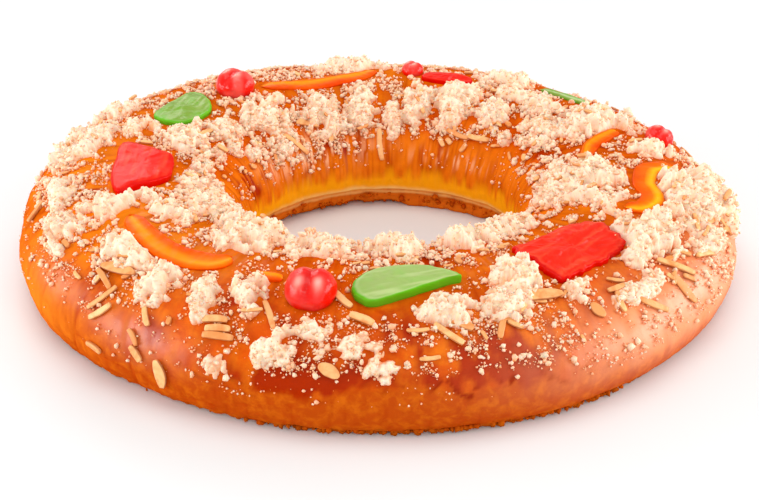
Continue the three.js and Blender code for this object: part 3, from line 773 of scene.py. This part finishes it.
# A candied cherry: a ball pressed a little flat, with fine wrinkles and a crease over its top and down two
# sides, a bell curve of the distance across it. Each lobe beside the crease has a soft painted highlight, and
# the crease and the underside are darkened as painted shade.
def makeCherry(name, place, radius=9.5, foldWay=0.0, highlightAt=0.2, seed=0):
    around, rings = 72, 46
    polar, way, ball = ballRings(around, rings)
    at, out, ahead, inward = seat(*place)
    across, along = np.sin(polar) * np.sin(way - foldWay), np.sin(polar) * np.cos(way - foldWay)
    fold = 0.2 * bell(across, 0, 0.3) * (0.5 + 0.5 * np.cos(polar))
    wrinkles = 0.03 * softNoise(ball * 3, 1.0, 51 + seed) + 0.014 * softNoise(ball * 7, 1.0, 52 + seed)
    reach = radius * (1 - fold + wrinkles)
    steps = np.vstack([[0, 0, 0.8 * radius], (ball * reach[..., None]).reshape(-1, 3), [0, 0, -radius]])
    points = at + out * radius * 0.3 + steps @ np.array([ahead, inward, 0.86 * out])
    # painted shade: darker in the crease and on the lower half
    dark = np.clip(ease(fold / 0.2, 0.3, 0.9) * 0.4 + 0.6 * ease(polar / np.pi, 0.45, 0.65), 0, 1)
    # painted highlight on each lobe
    lobeHighlights = bell(np.abs(across), 0.4, 0.16) * bell(along, highlightAt, 0.26) * (polar < 1.6)
    pale = padded(0.7 * lobeHighlights, around) + 0.15 * ease(softNoise(points, 5, 53 + seed), 0, 0.7)
    makeFruit(name, "cherry", points, rings, around, pale, padded(dark, around, 0.4, 1))


# Places are given as turn and over, and sizes in millimetres.
cherries = {
    "cherryFront": {"place": (257.5, 74), "radius": 9.5, "foldWay": 1.57, "highlightAt": -0.4},
    "cherryBackLeft": {"place": (128, 88), "radius": 8.8, "foldWay": 0.3},
    "cherryRight": {"place": (16.5, 62), "radius": 6.2, "foldWay": 2.0},
    "cherryBack": {"place": (82, 80), "radius": 5.0, "foldWay": 0.9},
}
slices = {
    "redSliceLeft": {"finish": "redFruit", "thick": 4.4, "ripple": 0.3, "edgeHighlight": 0.1, "places": [
        (171, 84), (171, 93), (172.5, 101), (174, 108), (182, 110.5), (190, 108.5), (194, 100), (195.3, 92),
        (197, 84.5), (190, 82.5), (180, 84)]},
    "redSliceRight": {"finish": "redFruit", "thick": 3.8, "ripple": 1.0, "nick": 0.06,
                      "paleTop": 0.12, "edgeHighlight": 0.6, "places": [
        (301.5, 99), (306, 101.5), (312, 103.5), (317, 104), (322, 102), (326, 98), (328, 91), (326.5, 83),
        (325, 74), (318, 73), (311, 72), (305.5, 70), (303.5, 76), (303, 86)]},
    "redSliceBack": {"finish": "redFruit", "thick": 3.2, "places": [
        (67, 84), (72, 81), (78, 83), (79, 90), (73, 93), (67, 90)]},
    "greenSliceLeft": {"finish": "greenFruit", "thick": 3.4, "places": [
        (154, 84), (148, 81), (143, 80), (138.5, 78.5), (137, 84), (138, 93), (141, 100), (147, 102),
        (153, 100), (155.5, 93)]},
    "greenWedgeFront": {"finish": "greenFruit", "thick": 5.2, "ripple": 0.25,
                        "paleTop": 0.4, "edgeHighlight": 0.9, "places": [
        (264.8, 78), (265.5, 73), (268.5, 69), (273, 73), (278, 78), (283, 82), (286, 83.5), (284.5, 87.5),
        (280, 93), (274, 94), (269, 91), (266, 85)]},
}
strips = {
    "greenStripRight": {"finish": "greenFruit", "width": 7, "pith": 1.0, "places": [
        (38, 68), (44, 69), (51, 70)]},
    "orangeStripLeft": {"finish": "orangePeel", "width": 11, "paleAt": (-0.1, -0.45), "places": [
        (207, 83), (214, 81), (218.5, 80), (224, 78.5), (229, 79), (233, 81), (236, 84), (237.5, 90)]},
    "orangeStripBack": {"finish": "orangePeel", "width": 9, "places": [
        (121, 90), (114, 93.5), (107, 94.5), (100, 90), (94.5, 85), (91, 76)]},
    "orangeCurlRight": {"finish": "orangePeel", "width": 10, "paleAt": (0.7, 0.35), "pith": 1.0, "places": [
        (4, 66), (2, 76), (-0.5, 82), (-7.5, 84), (-11.5, 80.5), (-15, 79), (-19, 82), (-20.5, 89)]},
    "orangeStripRight": {"finish": "orangePeel", "width": 7, "places": [
        (12, 108), (17, 101), (20, 91), (22, 81)]},
    "orangeBitFront": {"finish": "orangePeel", "width": 5, "places": [
        (245.5, 82), (248, 82), (251, 82)]},
}

for number, (name, cherry) in enumerate(cherries.items()):
    makeCherry(name, seed=number, **cherry)
for number, (name, fruit) in enumerate(slices.items()):
    makeSlice(name, seed=5 * number, **fruit)
for number, (name, fruit) in enumerate(strips.items()):
    makeStrip(name, seed=5 * number, **fruit)
print("candied fruits made:", len(cherries) + len(slices) + len(strips))


# The ground that the fruits cover, as points with a radius each: toppings keep off it.
def fruitGround():
    spots = [(skin(*cherry["place"]), 0.95 * cherry["radius"]) for cherry in cherries.values()]
    for fruit in slices.values():
        rim = smoothLoop(fruit["places"], 28)
        middle = rim.mean(0)
        for share in (0.0, 0.3, 0.6, 0.9):
            spots += [(skin(*place), 2.6) for place in middle + (rim - middle) * share]
    for fruit in strips.values():
        path = smoothPath(fruit["places"], np.linspace(0, 1, 24))
        spots += [(skin(*place), 0.5 * fruit["width"]) for place in path]
    return (np.array(column) for column in zip(*spots))


groundSpots, groundRadii = fruitGround()


# How far a point on the crust is from the nearest fruit, below 0 under one. The parts save memory.
def fruitDistance(points):
    parts = [np.linalg.norm(part[:, None] - groundSpots[None], axis=-1) - groundRadii
             for part in np.array_split(points, 1 + len(points) // 4000)]
    return np.concatenate([part.min(1) for part in parts])


def clearOfFruit(points, margin):
    return fruitDistance(points) > margin


# Turn from and to, over from and to, and height of each heap of moist sugar.
heaps = [
    (181, 195, 50, 64, 5), (196, 207, 40, 60, 6), (197, 205, 60, 96, 6), (213, 224, 58, 78, 7),
    (226, 233, 48, 74, 7), (235.5, 242, 50, 72, 6), (243, 249.5, 54, 80, 7), (238, 243, 42, 56, 4),
    (243, 247, 12, 34, 3), (251, 257, 24, 52, 5), (257, 262, 44, 60, 4), (262, 268, 36, 54, 3),
    (267, 273, 22, 44, 3), (277, 287, 56, 74, 6), (288, 296, 52, 72, 6), (293, 303, 68, 92, 8),
    (304, 309, 58, 78, 5), (313, 326, 42, 56, 3), (321, 343, 56, 84, 8), (335, 346, 32, 58, 5),
    (344, 364, 26, 78, 8), (198, 222, 106, 142, 6), (206, 222, 90, 106, 5), (222, 246, 98, 142, 8),
    (246, 264, 102, 140, 6), (262, 284, 108, 140, 7), (284, 304, 112, 140, 7), (303, 324, 122, 146, 7),
    (332, 346, 86, 104, 5), (338, 374, 96, 142, 8), (8, 15, 60, 90, 5), (20, 36, 66, 106, 7),
    (30, 44, 100, 128, 4), (36, 58, 84, 100, 4), (42, 50, 122, 138, 5), (50, 60, 100, 130, 5),
    (52, 66, 60, 82, 5), (61, 73, 92, 132, 7), (74, 83, 98, 136, 7), (83, 89, 112, 142, 5),
    (88, 104, 56, 80, 5), (90, 100, 104, 142, 6), (100, 115, 108, 138, 6), (117, 139, 100, 128, 6),
    (120, 134, 130, 148, 3), (138, 152, 104, 142, 4), (150, 168, 99, 117, 5), (155, 178, 117, 131, 5),
    (153, 167, 78, 99, 5), (161, 176, 54, 76, 5), (180, 198, 112, 140, 4), (147, 160, 46, 66, 5),
    (160, 178, 36, 56, 5),
]
# Turn from and to, over from and to, and density of loose sugar. Above 1, it fills what noise leaves thin.
dustings = [
    (190, 306, 96, 148, 0.9), (306, 335, 106, 146, 0.85), (330, 395, 84, 146, 1.0), (335, 372, 36, 80, 0.8),
    (178, 212, 38, 82, 0.75), (150, 192, 94, 130, 0.75), (55, 150, 98, 142, 0.85), (20, 60, 60, 130, 0.8),
    (210, 252, 40, 84, 0.5), (252, 306, 24, 58, 0.68), (300, 345, 8, 60, 0.42), (96, 142, 136, 156, 0.6),
    (286, 312, 50, 80, 0.6), (140, 180, 34, 70, 0.7), (140, 168, 66, 96, 0.45), (58, 140, 50, 90, 1.0),
    (228, 250, 0, 40, 0.2), (84, 138, 50, 104, 1.3), (126, 150, 70, 104, 1.1), (204, 252, 56, 98, 0.62),
    (196, 222, 24, 44, 0.35),
]
sugar = {
    "columns": 1180,              # of the heaps' net round the ring
    "rows": 236,
    "domeReach": 0.6,             # of a heap's dome to either side, as a share of its stated size
    "relief": ((2.9, 2.2, 60), (1.5, 1.1, 63)),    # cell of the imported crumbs, depth between them, and seed
    "clumps": 4.6,                # cell of the noise that opens the heaps down to the crust
    "openings": ((150, 62, 0.9), (260, 60, 0.35), (30, 50, 0.5)),   # middle turn, half turn, and how much so
    "lastOver": 168,              # where the sugar stops on the wall of the hole
    # radius from and to with the power that favours small ones, points round and rings of each, tint with the
    # power that favours light ones, and count and rise above the sugar or the skin, on the heaps and loose
    "sorts": {
        "sugarCrumbs": {"radius": (0.45, 1.35, 2.2), "net": (5, 2), "tint": (0.4, 2),
                        "piled": (3500, 0.1), "loose": (6300, 0.3)},
        "sugarGrains": {"radius": (0.28, 0.58, 1), "net": (4, 1), "tint": (0.6, 1.5),
                        "piled": (5500, 0.15), "loose": (19000, 0.2)},
    },
    "dust": {"radius": (0.14, 0.3), "net": (4, 1), "loose": (24000, 0.05)},
    "foot": {"radius": (0.4, 1.5, 2), "net": (5, 2), "outside": 340, "inside": 113},
    "looseTint": 0.12,            # how much warmer it is away from the heaps
    # painted shade and bounce light from the crust on each crumb's underside
    "underShade": 0.42,            # how much warmer a crumb is on its underside, in the light from the crust
    "roughness": 0.3,             # how far the corners of a grain stand in or out, as a share of its radius
}
dice = np.random.default_rng(7)


# Seeded numbers between two bounds, low ones more often for a power above 1.
def draw(count, low, high, power=1.0):
    return low + (high - low) * dice.random(count) ** power


# Random turned axes, one set of three for each piece.
def tumbledAxes(count):
    first = unit(dice.normal(size=(count, 3)))
    second = unit(np.cross(first, unit(dice.normal(size=(count, 3)))))
    return np.stack([first, second, np.cross(first, second)], 1)


# Many small uneven balls in one mesh: each is the unit ball turned, stretched, scaled and moved, with every
# point pulled in or out at random. The mask is deeper on their undersides, as painted shade.
def strew(name, centres, radii, net, tints, material=sugarFinish, mask="toastedAndShaded", flat=False):
    ball = np.vstack([[0, 0, 1], ballRings(*net)[2].reshape(-1, 3), [0, 0, -1]])
    count, size = len(centres), len(ball)
    axes = tumbledAxes(count)
    stretch = dice.uniform(0.75, 1.3, (count, 1, 3))
    reach = radii[:, None, None] * (1 + sugar["roughness"] * dice.uniform(-1, 1, (count, size, 1)))
    points = centres[:, None] + np.einsum("vk,nkx->nvx", ball, axes) * reach * stretch
    # painted shade on the underside of each crumb
    under = ease(-(points - centres[:, None])[..., 2] / radii[:, None], -0.4, 0.8)
    points[..., 2] = np.maximum(points[..., 2], 0.1)
    faces = (stackFaces(net[1], net[0])[None] + size * np.arange(count)[:, None, None]).reshape(-1, 3)
    makePiece(name, points.reshape(-1, 3), faces, material, "crust", flat=flat,
              masks={mask: np.clip(tints[:, None] + sugar["underShade"] * under, 0, 1)})


# Middles, sizes and last values of rows that give turn from and to, over from and to, and one value more.
def spans(rows):
    table = np.array(rows)
    first, last = table[:, :4:2], table[:, 1:4:2]
    return (first + last) / 2, last - first, table[:, 4]


# How high the heaps stand over places on the skin: each is a dome over an oval, less by the cube of the
# distance from its middle and its edge broken by noise, and the highest counts. Noise opens it into clumps,
# and the gaps between packed crumbs of two sizes take some of the height away. It gives the gaps too.
def heapHeight(turn, over):
    at = skin(turn, over)
    broken = np.maximum(noises(at, (0.42, 6, 60), (0.48, 2.6, 63)) + 0.14, -0.12)
    height = np.full(turn.shape, -1.0)
    for (midTurn, midOver), (turns, overs), top in zip(*spans(heaps)):
        far = np.hypot(turnsFrom(turn, midTurn) / turns, (over - midOver) / overs) / sugar["domeReach"]
        height = np.maximum(height, top * (1 - np.clip(far + broken, 0, 1.2) ** 3))
    thin = sum(share * bell(turnsFrom(turn, middle), 0, half) for middle, half, share in sugar["openings"])
    height = height - 7 * thin * ease(noises(at, (1, sugar["clumps"], 66), (0.5, 2.3, 67)), 0, 0.6)
    near = height > -0.6
    gaps, creases = np.zeros(turn.shape), np.zeros(turn.shape)
    for cell, depth, seed in sugar["relief"]:
        between = 1 - packedCrumbs(at[near] * [1, 1, 0.8], cell, seed)
        gaps[near] += depth * between
        creases[near] += between
    return np.where(near, height * (1 - 0.12 * gaps) - gaps + 0.9, height), creases


# The heaps as one net over the dough, kept where it stands above the skin and pressed down beside the fruits.
def makeHeaps():
    turn, over = np.meshgrid(np.linspace(0, 360, sugar["columns"], endpoint=False),
                             np.linspace(6, sugar["lastOver"], sugar["rows"]), indexing="ij")
    height, creases = heapHeight(turn, over)
    stands = height > -0.2
    room = np.full(turn.shape, 9.0)
    room[stands] = fruitDistance(skin(turn, over)[stands])
    height = height * ease(room, -0.6, 2.2) - 1.2 * (1 - ease(room, -0.6, 0.4))
    faces = netFaces(*turn.shape, closeRows=True)
    faces = faces[(height.ravel()[faces] > -0.15).any(1)]
    used, faces = np.unique(faces, return_inverse=True)
    # warmer where the sugar is thin and low, and painted shade in the crevices between the crumbs
    toastedAndShaded = np.clip(0.5 * ease(1.5 - height, 0, 1.8) + 0.55 * ease(creases, 0.6, 1.2), 0, 0.9)
    makePiece("sugarHeaps", above(turn, over, height).reshape(-1, 3)[used], faces.reshape(-1, 4), sugarFinish,
              "crust", masks={"toastedAndShaded": toastedAndShaded.ravel()[used]})


# Seeded places on the heaps, larger heaps drawn more often, each at a rise above the sugar.
def heapPlaces(count, rise):
    middles, sizes, _ = spans(heaps)
    chosen = dice.choice(len(heaps), 4 * count, p=sizes.prod(1) / sizes.prod(1).sum())
    turn, over = (middles[chosen, way] + dice.uniform(-0.66, 0.66, 4 * count) * sizes[chosen, way]
                  for way in (0, 1))
    height, _ = heapHeight(turn, over)
    keep = (height > 0.3) & clearOfFruit(skin(turn, over), 0.6)
    return above(turn, over, height + rise)[keep][:count]


# How thickly loose sugar lies: the densest dusting that covers the place, with soft edges.
def looseDensity(turn, over):
    density = 0.07 + 0.2 * band(over, 30, 50, 130, 146)
    for (midTurn, midOver), (turns, overs), share in zip(*spans(dustings)):
        pastTurn = np.abs(turnsFrom(turn, midTurn)) - turns / 2
        pastOver = np.abs(over - midOver) - overs / 2
        density = np.maximum(density, share * (1 - ease(pastTurn, -3, 4)) * (1 - ease(pastOver, -3, 6)))
    return density


# Seeded places on the skin for loose sugar, drawn by that density and gathered into patches by noise.
def loosePlaces(count, rise, patchy=1.0):
    turn, over = dice.uniform(0, 360, 9 * count), dice.uniform(0, sugar["lastOver"], 9 * count)
    at = skin(turn, over)
    patch = patchy * (noises(at, (1.2, 5, 61), (1.1, 2.4, 64))
                      + (1.2 + 2 * ease(over, 128, 142)) * drawnNoise(turn, over, 48, 9, 62))
    keep = dice.random(9 * count) < np.clip(looseDensity(turn, over) ** 1.5 * (0.5 + patch), 0, 1)
    turn, over = turn[keep][:2 * count], over[keep][:2 * count]
    clear = clearOfFruit(skin(turn, over), 0.4)
    turn, over = turn[clear][:count], over[clear][:count]
    return above(turn, over, np.full(len(turn), rise))


# Crumbs, then grains, each on the heaps and loose between them, and dust on the crust alone.
def strewSugar():
    for name, sort in sugar["sorts"].items():
        piled, loose = heapPlaces(*sort["piled"]), loosePlaces(*sort["loose"])
        centres = np.vstack([piled, loose])
        tint, power = sort["tint"]
        tan = np.where(np.arange(len(centres)) < len(piled), 0.0, sugar["looseTint"])
        strew(name, centres, draw(len(centres), *sort["radius"]), sort["net"],
              tan + tint * dice.random(len(centres)) ** power)
        print(name, "made:", len(centres))
    dust = loosePlaces(*sugar["dust"]["loose"], 0.8)
    strew("sugarDust", dust, draw(len(dust), *sugar["dust"]["radius"]), sugar["dust"]["net"],
          0.2 + 0.8 * dice.random(len(dust)), flat=True)
    print("sugarDust made:", len(dust))


# Toasted crumbs of the crust at the foot, outside on the near side and inside on the far side.
def footCrumbs():
    foot = sugar["foot"]
    outside, inside = foot["outside"], foot["inside"]
    turn = np.concatenate([dice.normal(283, 16, outside), dice.normal(75, 34, inside)])
    over = np.concatenate([dice.uniform(-84, -58, outside), dice.uniform(214, 262, inside)])
    centres = above(turn, over, np.full(len(turn), -0.1))
    # their mask also takes painted shade on the crumbs' undersides
    strew("footCrumbs", centres, draw(len(turn), *foot["radius"]), foot["net"],
          np.where(over < 0, 0.7, 0.3) * dice.uniform(0.2, 1, len(turn)), crustFinish, "toastAndShade")


makeHeaps()
footCrumbs()
strewSugar()


# Turn and over of both ends, and the width, of the almonds that lie alone.
almonds = [
    (217, 53, 224, 58, 5), (217, 50, 222, 44, 2.4), (220, 26, 223, 47, 2.2), (221, 21, 224, 36, 2.6),
    (221, 1, 224, -2, 2.4), (229, 26, 231, 17, 2.2), (230, 15, 232, 6, 3), (235, 12, 236, -20, 5.4),
    (230, 43, 232, 33, 2.4), (191, 33, 188, 46, 2.6), (211, 106, 220, 103, 2.6), (241, 47, 245, 50, 3),
    (242, 42, 246, 45, 3), (242, 38, 247, 40, 2.8), (250, 65, 253, 50, 2.4), (262, 76, 265, 68, 3),
    (265, 63, 269, 58, 3.4), (261, 31, 264, 24, 5), (279, 65, 285, 52, 3.8), (279, 57, 283, 44, 2.6),
    (291, 58, 289, 45, 2.6), (295, 66, 303, 63, 5.4), (307, 53, 308, 43, 5), (313, 54, 312, 41, 2.6),
    (316, 44, 320, 28, 2.8), (326, 47, 327, 20, 4.6), (326, 58, 330, 37, 2.8), (349, 41, 348, 26, 2.6),
    (67, 135, 59, 138, 2.4), (59, 136, 51, 135, 2.6), (157, 110, 147, 112, 2.8), (125, 134, 118, 152, 2.4),
    (118, 127, 111, 132, 2.6), (90, 138, 89, 164, 2.6),
]
almond = {
    "thick": 1.5,
    "looseSticks": 250,
    "looseWidth": (1.4, 2.4),
    "stations": 11,
    "around": 12,
    "endsOut": 0.35,          # how far the tips stand out past the last station
    "sliceFrom": 4.2,         # a piece this wide is a slice with a curved blade, not a stick
    "sliceThick": 1.3,
    # turn and over of both ends, and width, of sticks on the sugar at the long end
    "endSticks": [(350, 46, 355, 40, 2.4), (353, 36, 358, 30, 2.6), (346, 36, 349, 28, 2.4),
                  (343, 50, 347, 44, 2.6), (359, 44, 362, 36, 2.4), (334, 44, 338, 36, 2.6),
                  (339, 52, 343, 58, 2.2)],
}


# One almond piece: a rounded section carried from end to end, lifted off the dough's curve by a share of the
# square of its length. A stick's section is a blunt square, slightly tapered. A slice is thinner, leaf-shaped
# in plan and bowed.
def almondBody(turn, over, endTurn, endOver, width, lift, bow):
    isSlice = width >= almond["sliceFrom"]
    share = np.linspace(0, 1, almond["stations"])
    start, out, _, _ = seat(turn, over)
    stop, outStop, _, _ = seat(endTurn, endOver)
    length = np.linalg.norm(stop - start)
    forward = (stop - start) / length
    sideways = unit(np.cross(out + outStop, forward))
    up = np.cross(forward, sideways)
    thick = almond["sliceThick"] if isSlice else min(almond["thick"], 0.6 * width)
    bow = bow * min(1, length / 12)
    wide, high = bluntSection(almond["around"], 0.5, 0.5, np.pi / almond["around"])
    plan = (np.sin(np.pi * (0.06 + 0.88 * share)) ** (0.55 if isSlice else 0.16))[:, None]
    middle = start + (stop - start) * share[:, None] + up * (0.32 * thick + length ** 2 / 360 + lift)
    middle = middle + sideways * (bow * 4 * share * (1 - share))[:, None]
    rise = high * thick / 2 * (0.75 + 0.25 * plan) + 0.5 * bow * wide ** 2 * isSlice
    points = middle[:, None] + sideways * (wide * width / 2 * plan)[..., None] + up * rise[..., None]
    tips = [middle[0] - forward * almond["endsOut"], middle[-1] + forward * almond["endsOut"]]
    # painted shade along the sides
    rim = (np.abs(wide) > 0.9) * np.ones_like(plan) * (0.75 if isSlice else 0.5)
    return np.vstack([tips[0], points.reshape(-1, 3), tips[1]]), padded(rim, almond["around"])


# Sticks among the sugar by a seeded draw: anywhere on the top, lying any way, clear of the fruits, half sunk
# in the sugar where there is some.
def looseSticks():
    count = almond["looseSticks"]
    turn, over = dice.uniform(0, 360, count), 88 + 58 * dice.uniform(-1, 1, count)
    way, reach = dice.uniform(0, np.pi, count), dice.uniform(3, 6.5, count)
    sticks = np.stack([turn, over, turn + reach * 0.57 * np.cos(way), over + reach * 1.25 * np.sin(way),
                       dice.uniform(*almond["looseWidth"], count)], -1)
    sticks = np.vstack([sticks, almond["endSticks"]])
    clear = (clearOfFruit(skin(sticks[:, 0], sticks[:, 1]), 2.5)
             & clearOfFruit(skin(sticks[:, 2], sticks[:, 3]), 2.5))
    lifts = np.maximum(heapHeight(sticks[:, [0, 2]].mean(1), sticks[:, [1, 3]].mean(1))[0] - 0.4, 0)
    return [(*stick, lift) for stick, lift in zip(sticks[clear], lifts[clear])]


# All almonds as one mesh, each with its own bow and roast, and roughened by noise.
def makeAlmonds():
    pieces = [(*piece, 0) for piece in almonds] + looseSticks()
    bodies, edgeShades = zip(*(almondBody(*piece, bow=bow)
                         for piece, bow in zip(pieces, dice.uniform(-0.7, 0.7, len(pieces)))))
    faces, size = stackFaces(almond["stations"], almond["around"]), len(bodies[0])
    points = np.vstack(bodies)
    points = points + 0.12 * np.stack([softNoise(points, 1.6, seed) for seed in (71, 72, 73)], -1)
    makePiece("almonds", points, np.concatenate([faces + size * number for number in range(len(bodies))]),
              almondFinish, "crust", masks={"roasted": np.repeat(0.8 * dice.random(len(bodies)) ** 1.5, size),
                                            "edgeShadeBrown": np.concatenate(edgeShades)})
    return len(bodies)


print("almonds made:", makeAlmonds())


studio = {
    "floor": srgb(233, 237, 238),
    "floorHalf": 3.0,
    "floorDrop": 0.0002,       # below the base, so that the two never fight
    "world": (1.0, 0.99, 0.985, 1.0),
    "worldStrength": 0.55,
    "lightsAim": (0, 0, 0.03),
}


def makeFloor():
    material, tree, shader = newMaterial("paleFloor")
    feed(tree, shader, {"Base Color": studio["floor"], "Roughness": 0.6})
    half = studio["floorHalf"]
    mesh = bpy.data.meshes.new("floor")
    corners = [(-half, -half, 0), (half, -half, 0), (half, half, 0), (-half, half, 0)]
    mesh.from_pydata(corners, [], [(0, 1, 2, 3)])
    mesh.materials.append(material)
    floor = addObject("floor", mesh)
    floor.location.z = -studio["floorDrop"]


# Place in metres, width and height, power in watts and colour of each soft box.
lights = {
    "leftBox": {"place": (-1.05, -0.2, 0.25), "size": (0.9, 0.45), "power": 7, "colour": (1.0, 0.97, 0.96)},
    "rightBox": {"place": (1.1, 0.0, 0.28), "size": (1.4, 0.5), "power": 11, "colour": (1.0, 0.97, 0.95)},
    "backBox": {"place": (-0.5, 1.2, 0.7), "size": (0.7, 0.5), "power": 4, "colour": (1.0, 0.99, 0.98)},
    "topBox": {"place": (0.0, -0.1, 1.2), "size": (1.0, 0.8), "power": 5, "colour": (1.0, 0.99, 0.97)},
    "lowBox": {"place": (0.0, -1.6, 0.5), "size": (1.2, 0.4), "power": 2.0, "colour": (1.0, 0.98, 0.97)},
    "frontBox": {"place": (0.0, -1.3, 1.2), "size": (0.8, 0.5), "power": 4.2, "colour": (1.0, 0.98, 0.97)},
}


# Soft boxes that all face the ring, and an even white world.
def makeLights():
    for name, light in lights.items():
        lamp = bpy.data.lights.new(name, "AREA")
        lamp.shape = "RECTANGLE"
        lamp.size, lamp.size_y = light["size"]
        lamp.energy = light["power"]
        lamp.color = light["colour"]
        holder = addObject(name, lamp)
        holder.location = light["place"]
        way = Vector(np.array(studio["lightsAim"]) - np.array(light["place"]))
        holder.rotation_euler = way.to_track_quat("-Z", "Y").to_euler()
    world = bpy.data.worlds.new("studio")
    world.use_nodes = True
    background = world.node_tree.nodes["Background"]
    feed(world.node_tree, background, {"Color": studio["world"], "Strength": studio["worldStrength"]})
    bpy.context.scene.world = world


view = {
    "tilt": 30.94,             # degrees below level
    "distance": 0.6425,
    "aim": (0.0016, -0.0352, 0.025),
    "lens": 75.3,              # in millimetres
    "sensor": 36,
}


# The camera looks along +Y and down by its tilt, from its distance before the aim.
def makeCamera():
    tilt = np.radians(view["tilt"])
    lens = bpy.data.cameras.new("camera")
    lens.lens, lens.sensor_width, lens.sensor_fit = view["lens"], view["sensor"], "HORIZONTAL"
    holder = addObject("camera", lens)
    away = np.array([0, -np.cos(tilt), np.sin(tilt)]) * view["distance"]
    holder.location = np.array(view["aim"]) + away
    holder.rotation_euler = (np.pi / 2 - tilt, 0, 0)
    bpy.context.scene.camera = holder


makeFloor()
makeLights()
makeCamera()
bpy.context.scene.view_settings.view_transform = "Standard"
print("floor, lights and camera made")
